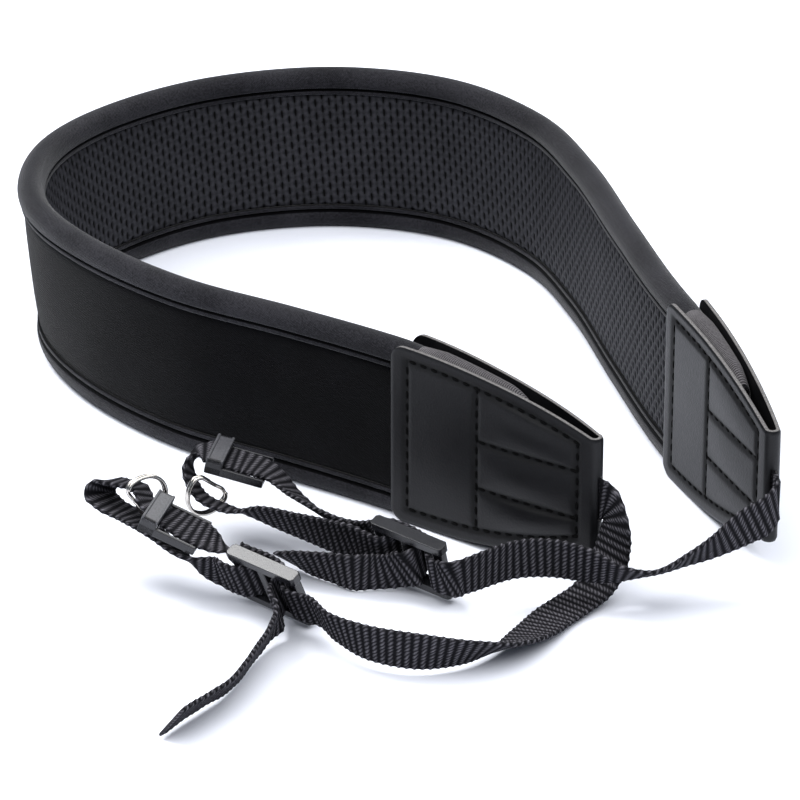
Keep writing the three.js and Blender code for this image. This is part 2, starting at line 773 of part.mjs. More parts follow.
add('slider_left', slider(), PLASTIC, placeOf(sliderLeft));
add('slider_right', slider(), PLASTIC, placeOf(sliderRight));
add('keeper_left', keeper(), PLASTIC, placeOf(keeperLeft));
add('keeper_right', keeper(), PLASTIC, placeOf(keeperRight));
add('ring_left', splitRing(), NICKEL, placeOfRing(RING_LEFT));
add('ring_right', splitRing(), NICKEL, placeOfRing(RING_RIGHT));

export default object;
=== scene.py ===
# Looks of a padded camera neck strap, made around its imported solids.
# Tables and shapes are in millimetres, and become metres when a mesh is made.

import math

import bmesh
import bpy
import numpy as np
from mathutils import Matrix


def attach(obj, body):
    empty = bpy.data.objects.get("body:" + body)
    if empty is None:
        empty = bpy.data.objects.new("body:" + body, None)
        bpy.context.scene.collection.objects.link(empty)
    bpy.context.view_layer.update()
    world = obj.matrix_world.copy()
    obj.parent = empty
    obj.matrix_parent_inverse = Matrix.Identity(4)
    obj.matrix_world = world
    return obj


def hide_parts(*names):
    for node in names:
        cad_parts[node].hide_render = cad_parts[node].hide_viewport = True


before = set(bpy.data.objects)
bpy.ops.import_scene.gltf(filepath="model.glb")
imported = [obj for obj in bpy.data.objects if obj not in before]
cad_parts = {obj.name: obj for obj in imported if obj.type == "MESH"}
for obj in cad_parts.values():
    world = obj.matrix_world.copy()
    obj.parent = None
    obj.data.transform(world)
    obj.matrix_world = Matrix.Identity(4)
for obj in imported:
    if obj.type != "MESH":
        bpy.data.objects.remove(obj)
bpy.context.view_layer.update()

MM = 0.001
MIDDLE = np.array([-1.88, 2.25, 0.0])
UP = np.array([0.0, 0.0, 1.0])
GAP = 0.3

# Camera

ELEVATION = math.radians(26)
TARGET = np.array([4.0, 43.0, 0.0])
DISTANCE = 1660
LENS = 225
SENSOR = 36
NEAREST, FARTHEST = 0.1, 20


def add_camera():
    """A long lens that looks along +Y and down on the strap."""
    data = bpy.data.cameras.new("camera")
    data.lens = LENS
    data.sensor_width = SENSOR
    data.clip_start = NEAREST
    data.clip_end = FARTHEST
    camera = bpy.data.objects.new("camera", data)
    back = np.array([0, -math.cos(ELEVATION), math.sin(ELEVATION)])
    camera.location = (TARGET - MIDDLE + DISTANCE * back) * MM
    camera.rotation_euler = (math.pi / 2 - ELEVATION, 0, 0)
    bpy.context.scene.collection.objects.link(camera)
    bpy.context.scene.camera = camera


add_camera()

# Shader arithmetic


class Wire:
    """A shader socket that takes part in Python arithmetic: each operation adds a Math node."""

    def __init__(self, tree, socket=None):
        self.tree = tree
        self.socket = socket

    def node(self, kind, settings=None, inputs=None, output=0):
        """Adds a node, sets its settings first and then its inputs, and gives one of its outputs."""
        made = self.tree.nodes.new(kind)
        for name, value in (settings or {}).items():
            if name == "stops":
                ramp = made.color_ramp.elements
                while len(ramp) < len(value):
                    ramp.new(1)
                for element, (position, colour) in zip(ramp, value):
                    element.position = position
                    element.color = (*colour, 1)
            else:
                setattr(made, name, value)
        for name, value in (inputs or {}).items():
            if isinstance(value, Wire):
                self.tree.links.new(value.socket, made.inputs[name])
            else:
                made.inputs[name].default_value = value
        return Wire(self.tree, made.outputs[output])

    def math(self, operation, *values, clamp=False):
        """One Math node."""
        settings = {"operation": operation, "use_clamp": clamp}
        return self.node("ShaderNodeMath", settings, dict(enumerate(values)))

    def __add__(self, other):
        return self.math("ADD", self, other)

    __radd__ = __add__

    def __sub__(self, other):
        return self.math("SUBTRACT", self, other)

    def __rsub__(self, other):
        return self.math("SUBTRACT", other, self)

    def __mul__(self, other):
        return self.math("MULTIPLY", self, other)

    __rmul__ = __mul__

    def __truediv__(self, other):
        return self.math("DIVIDE", self, other)

    def __pow__(self, other):
        return self.math("POWER", self, other)

    def sine(self):
        """The sine of a value in radians."""
        return self.math("SINE", self)

    def least(self, other):
        """The smaller of two values."""
        return self.math("MINIMUM", self, other)

    def folded(self, reach):
        """Distance to the nearest even multiple of a reach."""
        return self.math("PINGPONG", self, reach)

    def clamped(self):
        """The value, kept between 0 and 1."""
        return self.math("ADD", self, 0, clamp=True)

    def colours(self, *stops):
        """A colour for each value, between stops of a position and a colour."""
        return self.node("ShaderNodeValToRGB", {"stops": stops}, {0: self})


def noise(wire, scale, detail=2, roughness=0.5):
    """Smooth noise on object coordinates; scale is in cells a metre."""
    where = wire.node("ShaderNodeTexCoord", output="Object")
    inputs = {"Vector": where, "Scale": scale, "Detail": detail, "Roughness": roughness}
    return wire.node("ShaderNodeTexNoise", None, inputs)


def cells(wire, scale):
    """Distance to the nearest of scattered points on object coordinates; scale is in cells a metre."""
    where = wire.node("ShaderNodeTexCoord", output="Object")
    return wire.node("ShaderNodeTexVoronoi", None, {"Vector": where, "Scale": scale})


def along_and_across(wire):
    """The piece's own UV map in millimetres: along it and across it."""
    where = wire.node("ShaderNodeUVMap", {"uv_map": "lay"})
    split = {"Vector": where}
    along = wire.node("ShaderNodeSeparateXYZ", None, split, "X")
    across = wire.node("ShaderNodeSeparateXYZ", None, split, "Y")
    return along / MM, across / MM


def wave(value, pitch, shift=0):
    """A sine of a length, once per pitch."""
    return (value * (2 * math.pi / pitch) + shift).sine()


def bumped(wire, height, depth, strength):
    """A normal that tilts as if the face rose by a height of up to a depth in millimetres."""
    inputs = {"Height": height, "Distance": depth * MM, "Strength": strength}
    return wire.node("ShaderNodeBump", None, inputs)


def material(name, fixed, feed):
    """A Principled material: fixed sockets are set, and feed gives the wires of those that vary."""
    made = bpy.data.materials.new(name)
    made.use_nodes = True
    shader = made.node_tree.nodes["Principled BSDF"]
    for socket, value in fixed.items():
        shader.inputs[socket].default_value = value
    for socket, wire in feed(Wire(made.node_tree)).items():
        made.node_tree.links.new(wire.socket, shader.inputs[socket])
    return made


# Materials

LOOP_LENGTH = 0.85
LOOP_RISE = 0.62


def knit_look(dark, light):
    """Knitted cloth: loops in rows under a millimetre apart, with a fine nap that scatters light."""

    def feed(wire):
        along, across = along_and_across(wire)
        loops = wave(along, LOOP_LENGTH) * wave(across, LOOP_RISE)
        nap = noise(wire, 1700, 3, 0.6)
        patches = noise(wire, 45, 2)
        # The loops add a faint painted highlight on their tops and painted shade between them.
        tone = (nap * 0.75 + patches * 0.35 + loops * 0.1 - 0.05).clamped()
        height = loops * 0.5 + nap * 0.9
        return {
            "Base Color": tone.colours((0.4, dark), (0.62, light)),
            "Roughness": 0.78 + nap * 0.2,
            "Normal": bumped(wire, height, 0.25, 0.6),
        }

    return feed


RIB_PITCH = 0.75


def ribbed_look(wire):
    """Ribbed knit between the leaves of a tab: ribs across the tube painted pale as highlight, with painted
    shade in dark lines between them.
    """
    along, _ = along_and_across(wire)
    ribs = wave(along, RIB_PITCH) * 0.5 + 0.5
    nap = noise(wire, 1500, 3, 0.6)
    # Pale rib crests are painted highlight and the dark lines between them painted shade.
    tone = (ribs * 0.5 + nap * 0.6 - 0.05).clamped()
    return {
        "Base Color": tone.colours((0.2, (0.03, 0.028, 0.03)), (0.8, (0.15, 0.142, 0.148))),
        "Roughness": 0.78 + nap * 0.2,
        "Normal": bumped(wire, ribs + nap * 0.5, 0.25, 0.6),
    }


SLIT_COLUMN = 2.52
SLIT_RISE = 4.97
SLIT_TURN = math.radians(5)
SLIT_HALF_WIDTH = 0.3
SLIT_HALF_LENGTH = 1.4


def grip_look(wire):
    """Moulded rubbery foam: slits in columns, each column shifted by half a slit, on a fine pebbled skin.
    The nearest slit's distance, as shares of its half width and half length, gives a mask that is 1 in the
    slit; it darkens the colour as painted shade and sinks the face. Pale ridges run between the columns,
    crossed by fainter rows, and pale bars swell between the ends of a column's slits; their paleness is
    painted highlight."""
    along, across = along_and_across(wire)
    x = along * math.cos(SLIT_TURN) + across * math.sin(SLIT_TURN)
    y = across * math.cos(SLIT_TURN) - along * math.sin(SLIT_TURN)
    beside = x.folded(SLIT_COLUMN)
    above = y.folded(SLIT_RISE / 2)
    one = (beside / SLIT_HALF_WIDTH) ** 2 + (above / SLIT_HALF_LENGTH) ** 4
    beside_next = (SLIT_COLUMN - beside) / SLIT_HALF_WIDTH
    above_next = (SLIT_RISE / 2 - above) / SLIT_HALF_LENGTH
    near = one.least(beside_next**2 + above_next**4)
    slit = (1.5 - near).clamped()
    bars = (wave(x, 2 * SLIT_COLUMN, math.pi / 2) * wave(y, SLIT_RISE, -math.pi / 2)).clamped()
    ridges = wave(x, SLIT_COLUMN, -math.pi / 2) * 0.16 + wave(y, SLIT_RISE / 2, -math.pi / 2) * 0.09
    grain = noise(wire, 2000, 2)
    patches = noise(wire, 60, 2)
    # Painted shade darkens the slits, and painted highlight pales the ridges and bars where the face rises.
    tone = (grain * 0.4 + patches * 0.25 + bars * 0.2 + ridges + 0.05 - slit * 0.5).clamped()
    return {
        "Base Color": tone.colours((0.12, (0.0006, 0.0006, 0.0008)), (0.72, (0.03, 0.03, 0.0355))),
        "Roughness": 0.5 + grain * 0.2 + slit * 0.3,
        "Normal": bumped(wire, grain * 0.3 + bars * 0.4 + ridges * 2 - slit, 0.3, 0.7),
    }


def leather_look(wire):
    """Semi-matt leather: a pebble grain of small cells, fine creases and wear, and painted shade that
    darkens it in the seams.
    """
    pebbles = cells(wire, 1500)
    creases = noise(wire, 700, 4, 0.65)
    patches = noise(wire, 55, 3)
    seam = wire.node("ShaderNodeAttribute", {"attribute_name": "seam"}, None, "Fac")
    # The seam mask darkens the colour as painted shade in the sunken seams.
    tone = (patches * 0.55 + creases * 0.3 + pebbles * 0.3 - 0.1 - seam * 0.5).clamped()
    height = pebbles * 0.8 + creases * 0.5
    return {
        "Base Color": tone.colours((0.2, (0.0012, 0.0012, 0.0016)), (0.85, (0.005, 0.005, 0.0063))),
        "Roughness": 0.33 + creases * 0.14 + patches * 0.06 + seam * 0.3,
        "Normal": bumped(wire, height, 0.14, 0.35),
    }


def cut_edge_look(wire):
    """The raw cut edge of the leather: pale grey fibres."""
    fibres = noise(wire, 2600, 3, 0.7)
    return {
        "Base Color": fibres.colours((0.3, (0.05, 0.047, 0.047)), (0.75, (0.26, 0.25, 0.245))),
        "Roughness": 0.8 + fibres * 0.15,
        "Normal": bumped(wire, fibres, 0.3, 0.8),
    }


WEAVE_PITCH = 2.5
YARN_PITCH = 1.4
YARN_SHIFT = 1.5
YARN_SLANT = YARN_SHIFT * YARN_PITCH / WEAVE_PITCH
YARN_WANDER = 1.6
CREST_POWER = 1.4
YARN_POWER = 1.3


def webbing_look(wire):
    """Woven tape: the yarns come up along the crest of each cross rib as a row of slanted dashes, painted
    pale as highlight, between valleys painted dark as shade. The crest is a power of a raised wave along the
    strap, and the dashes are one across it that is shifted by a pitch and a half from rib to rib and wanders
    a little."""
    along, across = along_and_across(wire)
    crest = (wave(along, WEAVE_PITCH, math.pi / 2) * 0.5 + 0.5) ** CREST_POWER
    fibres = noise(wire, 2200, 3, 0.65)
    flecks = noise(wire, 420, 2)
    slanted = across + along * YARN_SLANT + flecks * YARN_WANDER
    yarns = (wave(slanted, YARN_PITCH) * 0.5 + 0.5) ** YARN_POWER
    dots = crest * (yarns * 0.85 + 0.15)
    # The pale dots on the rib crests are painted highlight, and the dark between them painted shade.
    tone = (dots * (fibres + flecks) * 0.8 + fibres * 0.12 - 0.05).clamped()
    height = dots * 0.8 + yarns * 0.3 + fibres * 0.35
    return {
        "Base Color": tone.colours((0.02, (0.0075, 0.0075, 0.0088)), (0.75, (0.118, 0.114, 0.128))),
        "Roughness": 0.78 + fibres * 0.2,
        "Normal": bumped(wire, height, 0.35, 0.8),
    }


def plastic_look(wire):
    """Moulded nylon: satin, with a fine spark-eroded grain."""
    grain = noise(wire, 3200, 2)
    patches = noise(wire, 130, 2)
    tone = (grain * 0.5 + patches * 0.5).clamped()
    return {
        "Base Color": tone.colours((0.3, (0.008, 0.008, 0.0095)), (0.75, (0.016, 0.016, 0.019))),
        "Roughness": 0.19 + grain * 0.08 + patches * 0.04,
        "Normal": bumped(wire, grain, 0.04, 0.25),
    }


def lit_bridge_look(wire):
    """The keepers' bridges: the same nylon, duller, in a paler colour that is a painted highlight on their
    upper faces.
    """
    grain = noise(wire, 1600, 3, 0.6)
    return {
        "Base Color": grain.colours((0.3, (0.03, 0.03, 0.034)), (0.7, (0.075, 0.075, 0.083))),
        "Roughness": 0.36 + grain * 0.12,
        "Normal": bumped(wire, grain, 0.05, 0.3),
    }


def nickel_look(wire):
    """Polished nickel wire with faint rub marks."""
    rubs = noise(wire, 900, 3, 0.6)
    return {
        "Base Color": rubs.colours((0.3, (0.4, 0.375, 0.34)), (0.7, (0.58, 0.555, 0.52))),
        "Roughness": 0.1 + rubs * 0.14,
    }


def thread_look(wire):
    """Twisted sewing thread, black and dull."""
    twist = noise(wire, 2600, 2)
    return {
        "Base Color": twist.colours((0.3, (0.001, 0.001, 0.001)), (0.8, (0.005, 0.005, 0.005))),
        "Roughness": 0.6 + twist * 0.3,
        "Normal": bumped(wire, twist, 0.15, 0.6),
    }


def floor_look(wire):
    """A plain white studio floor."""
    grain = noise(wire, 40, 2)
    return {
        "Base Color": grain.colours((0.2, (0.84, 0.86, 0.935)), (0.8, (0.86, 0.88, 0.95))),
        "Roughness": 0.75 + grain * 0.1,
    }


SHEEN = {"Sheen Weight": 0.1, "Sheen Roughness": 0.4, "Specular IOR Level": 0.03}
RICH_SHEEN = {"Sheen Weight": 0.22, "Sheen Roughness": 0.35, "Specular IOR Level": 0.05}
PANEL_TONES = ((0.0006, 0.0006, 0.0008), (0.003, 0.003, 0.0038))
BINDING_TONES = ((0.007, 0.007, 0.0085), (0.027, 0.0265, 0.031))
PANEL_KNIT = material("panel_knit", SHEEN, knit_look(*PANEL_TONES))
BINDING_KNIT = material("binding_knit", RICH_SHEEN, knit_look(*BINDING_TONES))
RIBBED_KNIT = material("ribbed_knit", SHEEN, ribbed_look)
GRIP = material("grip_foam", {"Specular IOR Level": 0.12}, grip_look)
LEATHER = material("leather", {"Specular IOR Level": 0.26}, leather_look)
CUT_EDGE = material("cut_edge", {"Specular IOR Level": 0.1}, cut_edge_look)
WEBBING = material("webbing", {"Specular IOR Level": 0.02}, webbing_look)
PLASTIC = material("plastic", {"Specular IOR Level": 0.45}, plastic_look)
LIT_BRIDGE_PLASTIC = material("lit_bridge_plastic", {"Specular IOR Level": 0.5}, lit_bridge_look)
NICKEL = material("nickel", {"Metallic": 1.0}, nickel_look)
THREAD = material("thread", {"Specular IOR Level": 0.05}, thread_look)
FLOOR = material("floor", {"Specular IOR Level": 0.1}, floor_look)

# Meshes


def grid_faces(rows, columns, closed):
    """Corners of the cells between rows of points; a closed grid also joins its last column to the first."""
    wide = columns if closed else columns - 1
    row, column = np.meshgrid(np.arange(rows - 1), np.arange(wide), indexing="ij")
    after = (column + 1) % columns
    corners = [row * columns + column, row * columns + after]
    corners += [(row + 1) * columns + after, (row + 1) * columns + column]
    return np.stack(corners, -1).reshape(-1, 4)


def add_piece(name, parts, finishes, finish_of=None, seam=None):
    """A closed mesh in the part's frame from points, faces and lay, turned outwards and smooth. Its lay is
    kept as a UV map, finish_of gives the number of each face's finish, and seam marks points near a seam,
    where the leather's colour gets painted shade."""
    points, faces, lay = parts
    mesh = bpy.data.meshes.new(name)
    mesh.from_pydata((points - MIDDLE) * MM, [], faces)
    for finish in finishes:
        mesh.materials.append(finish)
    if finish_of is not None:
        mesh.polygons.foreach_set("material_index", finish_of)
    if lay is not None:
        corners = np.concatenate([np.asarray(corner) for corner in lay])
        mesh.uv_layers.new(name="lay").uv.foreach_set("vector", (corners * MM).astype(np.float32).ravel())
    if seam is not None:
        mesh.attributes.new("seam", "FLOAT", "POINT").data.foreach_set("value", seam.astype(np.float32))
    shape = bmesh.new()
    shape.from_mesh(mesh)
    bmesh.ops.recalc_face_normals(shape, faces=shape.faces)
    shape.to_mesh(mesh)
    shape.free()
    mesh.shade_smooth()
    piece = bpy.data.objects.new(name, mesh)
    bpy.context.scene.collection.objects.link(piece)
    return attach(piece, "root")


def lengths_of(points):
    """Distance from the first point along a line of points."""
    steps = np.linalg.norm(np.diff(points, axis=0), axis=1)
    return np.concatenate([[0], np.cumsum(steps)])


def tube_parts(loops, along=None, around=None):
    """Points, faces and lay of a solid through rows of closed loops, with one flat face at each end.
    Unless it is given, the lay is the length along the loops' middles and that round the middle loop."""
    rows, columns = loops.shape[:2]
    quads = grid_faces(rows, columns, True)
    last = (rows - 1) * columns
    faces = quads.tolist() + [list(range(columns))[::-1], list(range(last, last + columns))]
    if along is None:
        along = lengths_of(loops.mean(1))
    if around is None:
        middle = loops[rows // 2]
        around = lengths_of(np.vstack([middle, middle[:1]]))
    row, column = np.divmod(np.arange(len(quads)), columns)
    u = np.stack([along[row], along[row], along[row + 1], along[row + 1]], -1)
    v = np.stack([around[column], around[column + 1], around[column + 1], around[column]], -1)
    lay = [np.stack([u, v], -1).reshape(-1, 2)]
    lay.append(np.stack([np.full(columns, along[0]), around[:-1][::-1]], -1))
    lay.append(np.stack([np.full(columns, along[-1]), around[:-1]], -1))
    return loops.reshape(-1, 3), faces, lay


def joined(parts):
    """Several solids as one list of points, faces and lay."""
    points, faces, lay = [], [], []
    count = 0
    for part_points, part_faces, part_lay in parts:
        points.append(part_points)
        faces += [[corner + count for corner in face] for face in part_faces]
        lay += part_lay
        count += len(part_points)
    return np.concatenate(points), faces, lay


# Curves


def through(points, shares, even=False):
    """A Catmull-Rom curve through points at shares of its spans: centripetal, or with even spans."""
    points = np.asarray(points, float)
    ends = np.vstack([2 * points[0] - points[1], points, 2 * points[-1] - points[-2]])
    spans = len(points) - 1
    place = np.clip(shares, 0, 1) * spans
    span = np.minimum(place.astype(int), spans - 1)
    share = (place - span)[:, None]
    before, start, stop, beyond = (ends[span + step] for step in range(4))

    def reach(one, other):
        if even:
            return np.ones((len(one), 1))
        return np.sqrt(np.linalg.norm(other - one, axis=1, keepdims=True))

    first, second, third = reach(before, start), reach(start, stop), reach(stop, beyond)
    leave = (start - before) / first - (stop - before) / (first + second) + (stop - start) / second
    arrive = (stop - start) / second - (beyond - start) / (second + third) + (beyond - stop) / third
    leave, arrive = leave * second, arrive * second
    square = 3 * (stop - start) - 2 * leave - arrive
    cube = 2 * (start - stop) + leave + arrive
    return start + share * leave + share**2 * square + share**3 * cube


def unit(vectors):
    """The vectors' directions, with a length of one."""
    return vectors / np.linalg.norm(vectors, axis=-1, keepdims=True)


def pointing(heading, rise):
    """Directions from headings about the upright and rises over the floor, in degrees."""
    turn, tilt = np.radians(heading), np.radians(rise)
    return np.stack([np.cos(tilt) * np.cos(turn), np.cos(tilt) * np.sin(turn), np.sin(tilt)], -1)


# Pad and tab sections

PAD_HEIGHT = 60
HALF_PANEL = 3.2
PANEL = 3.05
HALF_BINDING = 4.6
BINDING_WALL = 1.85
BINDING_REACH = 8.5
CROWN = 0.5

TAB_LENGTH = 75
WIDE_HEIGHT = 61
FOLD_HEIGHT = 38
LEATHER_THICK = 1.5
FOLD_ROOM = 1.2
WIDE_ROOM = 4.95
TAPER = 2.5
CLOSING = 0.8
PAD_REACH = 0.68
PAD_INSET = 0.5
INSET_SHARE = 0.2
TAB_CORNER = 5

# The pad's middle line from the left fold to the right one: x, y and how far its upper edge leans out

PAD_ROUTE = np.array([
    (63.4, -83.9, 0), (35, -62.5, 0), (4, -36.5, 0), (-30, -13.5, 0), (-66, 9, 0),
    (-96, 40, 2), (-113, 70, 5), (-117.5, 95, 6), (-113, 124, 5), (-96, 152, 2),
    (-62, 178, 0), (-18, 187.5, 0), (22, 176, 0), (51, 145, 0), (66, 106, 0),
    (78, 56, 0), (89.5, 9.5, 0), (103, -33, 0), (117.9, -78.4, 0),
])

ROUTE_STEPS = 6001
route_shares = np.linspace(0, 1, ROUTE_STEPS)
route = through(PAD_ROUTE[:, :2], route_shares)
route_flare = through(PAD_ROUTE[:, 2:], route_shares, even=True)[:, 0]
route_reach = lengths_of(route)
PAD_LENGTH = route_reach[-1]
route_ahead = unit(np.gradient(route, route_reach, axis=0))


def pad_frame(distance):
    """The route's point, direction, outward side and flare at distances from the left fold."""
    inside = np.clip(distance, 0, PAD_LENGTH)
    at = np.stack([np.interp(inside, route_reach, line) for line in route.T], -1)
    ahead = unit(np.stack([np.interp(inside, route_reach, line) for line in route_ahead.T], -1))
    at = at + ahead * (distance - inside)[..., None]
    outward = np.stack([-ahead[..., 1], ahead[..., 0]], -1)
    flat = np.zeros(at.shape[:-1] + (1,))
    at, ahead, outward = (np.concatenate([rows, flat], -1) for rows in (at, ahead, outward))
    return at, ahead, outward, np.interp(inside, route_reach, route_flare)


def share_of_tab(distance):
    """How far a distance lies into the nearer tab: 0 at its wide end, 1 at its fold."""
    return np.clip(1 - np.minimum(distance, PAD_LENGTH - distance) / TAB_LENGTH, 0, 1)


def tab_half_height(share):
    """Half the tab's height, which falls off towards the fold by a power of the share."""
    return (WIDE_HEIGHT - (WIDE_HEIGHT - FOLD_HEIGHT) * share**TAPER) / 2


def tab_half_room(share):
    """Half the room between the tab's leaves, which closes towards the fold."""
    return FOLD_ROOM + (WIDE_ROOM - FOLD_ROOM) * (1 - share) ** CLOSING


def pad_section(distance):
    """Half height and pressing of the pad, which narrows and thins inside a tab."""
    share = share_of_tab(distance)
    inset = (WIDE_HEIGHT - PAD_HEIGHT) / 2 + PAD_INSET * np.minimum(1, share / INSET_SHARE)
    half = tab_half_height(share) - inset
    press = np.where(share > 0, np.minimum(1, (tab_half_room(share) - GAP) / HALF_BINDING), 1)
    return half[:, None], press[:, None]


def on_pad(distance, depth, height):
    """Points at a depth outwards from the route, leaning with the flare, and a height over the middle."""
    at, _, outward, flare = pad_frame(distance)
    lean = flare[:, None] * height / PAD_HEIGHT
    points = at[:, None] + outward[:, None] * (depth + lean)[..., None]
    return points + UP * (PAD_HEIGHT / 2 + height)[..., None]


PAD_START = TAB_LENGTH * (1 - PAD_REACH)


def pad_stations(open_step, tab_step):
    """Distances along the pad, with one spacing in the open and another inside the tabs."""
    opened = np.arange(TAB_LENGTH, PAD_LENGTH - TAB_LENGTH, open_step)
    left = np.arange(PAD_START, TAB_LENGTH, tab_step)
    right = np.arange(PAD_LENGTH - TAB_LENGTH, PAD_LENGTH - PAD_START, tab_step)
    return np.concatenate([left, opened, right, [PAD_LENGTH - PAD_START]])


# Panels

SLIT_DEPTH = 0.45
SLIT_POWER = 0.8
COLUMN_POWER = 5
BAR_SWELL = 0.25
LONG_SWELL = 0.12
SHORT_SWELL = 0.1
TAB_STEP = 3
EDGE_SINK = 0.5
EDGE_SINK_SPREAD = 0.9
PANEL_ROWS = 41
PANEL_STEP = 1.5
GRIP_ROWS = 69
GRIP_STEP = 0.5


def grip_relief(distance, height):
    """Cells of the non-slip face. With c the product of a cosine across the columns of slits and one along
    them, slits lie where c is above zero and swelling bars where it is below."""
    along = distance * math.cos(SLIT_TURN) + height * math.sin(SLIT_TURN)
    rise = height * math.cos(SLIT_TURN) - distance * math.sin(SLIT_TURN)
    column = np.cos(np.pi * along / SLIT_COLUMN)
    crossing = column * np.cos(2 * np.pi * rise / SLIT_RISE)
    slit = np.maximum(0, crossing) ** SLIT_POWER * np.abs(column) ** COLUMN_POWER
    return BAR_SWELL * np.maximum(0, -crossing) - SLIT_DEPTH * slit


def gentle_waves(distance, height):
    """Long and short swells of the soft face, together less than a quarter of a millimetre high."""
    long_waves = np.sin(distance / 17) * np.cos(height / 9)
    short_waves = np.sin(distance / 7.3 + height / 13)
    return LONG_SWELL * long_waves + SHORT_SWELL * short_waves


def panel(name, node, side, rows, open_step, finish, relief):
    """A crowned foam panel: its face stands out by a flat-topped crown, rolls in at its edges and runs under
    the bindings. Its lay is the distance along the route and the height over the pad's middle."""
    distance = pad_stations(open_step, TAB_STEP)
    half, press = pad_section(distance)
    edge = half - HALF_BINDING + GAP
    shoulder = half - BINDING_REACH
    share = np.linspace(-1, 1, rows)[None]
    height = shoulder * share
    crown = CROWN * (1 - share**4)
    sink = EDGE_SINK * np.exp(-(((1 - np.abs(share)) * shoulder / EDGE_SINK_SPREAD) ** 2))
    face = (HALF_PANEL + crown - sink) * press + relief(distance[:, None], height)
    inner = (HALF_PANEL - PANEL) * press
    tucked = HALF_PANEL * press - 2 * GAP
    height = np.hstack([-edge, -edge, -shoulder - GAP, height, shoulder + GAP, edge, edge])
    depth = np.hstack([inner, tucked, tucked, face, tucked, tucked, inner])
    loops = on_pad(distance, side * depth, height)
    heights = height[len(distance) // 2]
    piece = add_piece(name, tube_parts(loops, distance, np.append(heights, heights[0])), [finish])
    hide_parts(node)
    return piece


outer_panel = panel("outer_panel_knit", "outer_panel", 1, PANEL_ROWS, PANEL_STEP, PANEL_KNIT, gentle_waves)
inner_panel = panel("inner_panel_grip", "inner_panel", -1, GRIP_ROWS, GRIP_STEP, GRIP, grip_relief)

# Bindings

FLANGE_DEPTH = 4.05
SEAM_DEPTH = 2.9
SEAM_HEIGHT = 1.75
TUBE_START = -20
TUBE_STEPS = 25
FLAT_TURN = math.radians(58)
RIB_LIFT = 1.2
RIB_FALL = 2.8
RIB_RISE = 0.14
RIB_STEP = 0.125
RIB_START = 0.1
RIB_RUN = 0.12
PLAIN_STEP = 1.4

# The flange from its lower edge to the seam: depth and height

FLANGE = np.array([
    (SEAM_DEPTH, -0.25), (FLANGE_DEPTH - 0.2, -0.2), (FLANGE_DEPTH, 0.2), (FLANGE_DEPTH, 0.9),
    (FLANGE_DEPTH - 0.15, 1.15), (SEAM_DEPTH + 0.3, SEAM_HEIGHT - 0.3), (SEAM_DEPTH, SEAM_HEIGHT),
])
# Columns of faces in the sunken seams, which get the darker panel knit as painted shade
SHADED_SEAM_COLUMNS = np.array([0, 4, 5, 6])


def binding(name, node, side):
    """A padded tube over a long edge of the panels: an arc of a circle over a sunken seam and a flat flange
    on both faces, carried along the route. The lower tube is flattened where it rests. Between the leaves of
    a tab the upper one is ribbed by a sine of the distance, and falls off where it ends."""
    distance = pad_stations(PLAIN_STEP, RIB_STEP if side > 0 else PLAIN_STEP)
    half, press = pad_section(distance)
    foot = half - BINDING_REACH
    shoulder = half - HALF_BINDING
    turns = np.radians(np.linspace(TUBE_START, 180 - TUBE_START, TUBE_STEPS))[None]
    sine = np.sin(turns)
    if side < 0:
        sine = np.where(sine > 0, np.minimum(1, sine / math.sin(FLAT_TURN)), sine)
    ribbed = np.clip((share_of_tab(distance) - RIB_START) / RIB_RUN, 0, 1)[:, None] * (side > 0)
    swell = 1 + ribbed * RIB_RISE / HALF_BINDING * np.sin(2 * np.pi * distance / RIB_PITCH)[:, None]
    tube_depth = HALF_BINDING * swell * np.cos(turns)
    ending = np.clip((share_of_tab(distance) - PAD_REACH) / RIB_RUN + 1, 0, 1)[:, None] * (side > 0)
    tube_height = shoulder + RIB_LIFT * ribbed - RIB_FALL * ending**2 + HALF_BINDING * swell * sine
    rim_depth = np.broadcast_to(FLANGE[:, 0], (len(distance), len(FLANGE)))
    rim_height = foot + FLANGE[:, 1]
    wall = HALF_BINDING - BINDING_WALL
    inside_depth = np.broadcast_to([-wall, -wall, wall, wall], (len(distance), 4))
    inside_height = np.hstack([foot, shoulder + 2 * GAP, shoulder + 2 * GAP, foot])
    depth = np.hstack([rim_depth, tube_depth, -rim_depth[:, ::-1], inside_depth]) * press
    height = np.hstack([rim_height, tube_height, rim_height[:, ::-1], inside_height])
    loops = on_pad(distance, depth, side * height)
    face_finish = np.zeros((len(distance) - 1, loops.shape[1]), int)
    face_finish[ribbed[1:, 0] > 0] = 1
    last_column = 2 * len(FLANGE) + TUBE_STEPS - 2
    # The seam faces take the panel knit, a painted shade in the crease.
    face_finish[:, np.concatenate([SHADED_SEAM_COLUMNS, last_column - SHADED_SEAM_COLUMNS])] = 2
    finish_of = np.append(face_finish.ravel(), [0, 0])
    finishes = [BINDING_KNIT, RIBBED_KNIT, PANEL_KNIT]
    piece = add_piece(name, tube_parts(loops, distance), finishes, finish_of)
    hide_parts(node)
    return piece


binding("top_binding_tube", "top_binding", 1)
binding("bottom_binding_tube", "bottom_binding", -1)

# Leather tabs

SEAM_WIDE = 0.085
SEAM_MIDDLE = 0.45
SEAM_FOLD = 0.94
TOP_MARGIN = 4.3
BOTTOM_MARGIN = 5.0
CHANNEL_TOP = 6.7
CHANNEL_BOTTOM = -9.5
LEFT_PUFF, RIGHT_PUFF = 1.3, 0.6
WIDE_PUFF = 0.3
SEAM_SINK = 0.6
SEAM_SPREAD = 1.0
SEAM_SHADE = 1.4
EDGE_ROLL = 0.35
EDGE_SPREAD = 0.6
STRAP_HEIGHT = 29
STRAP_WIDTH = 14
STRAP_THICK = 1.4
SLOT_TURN = 68


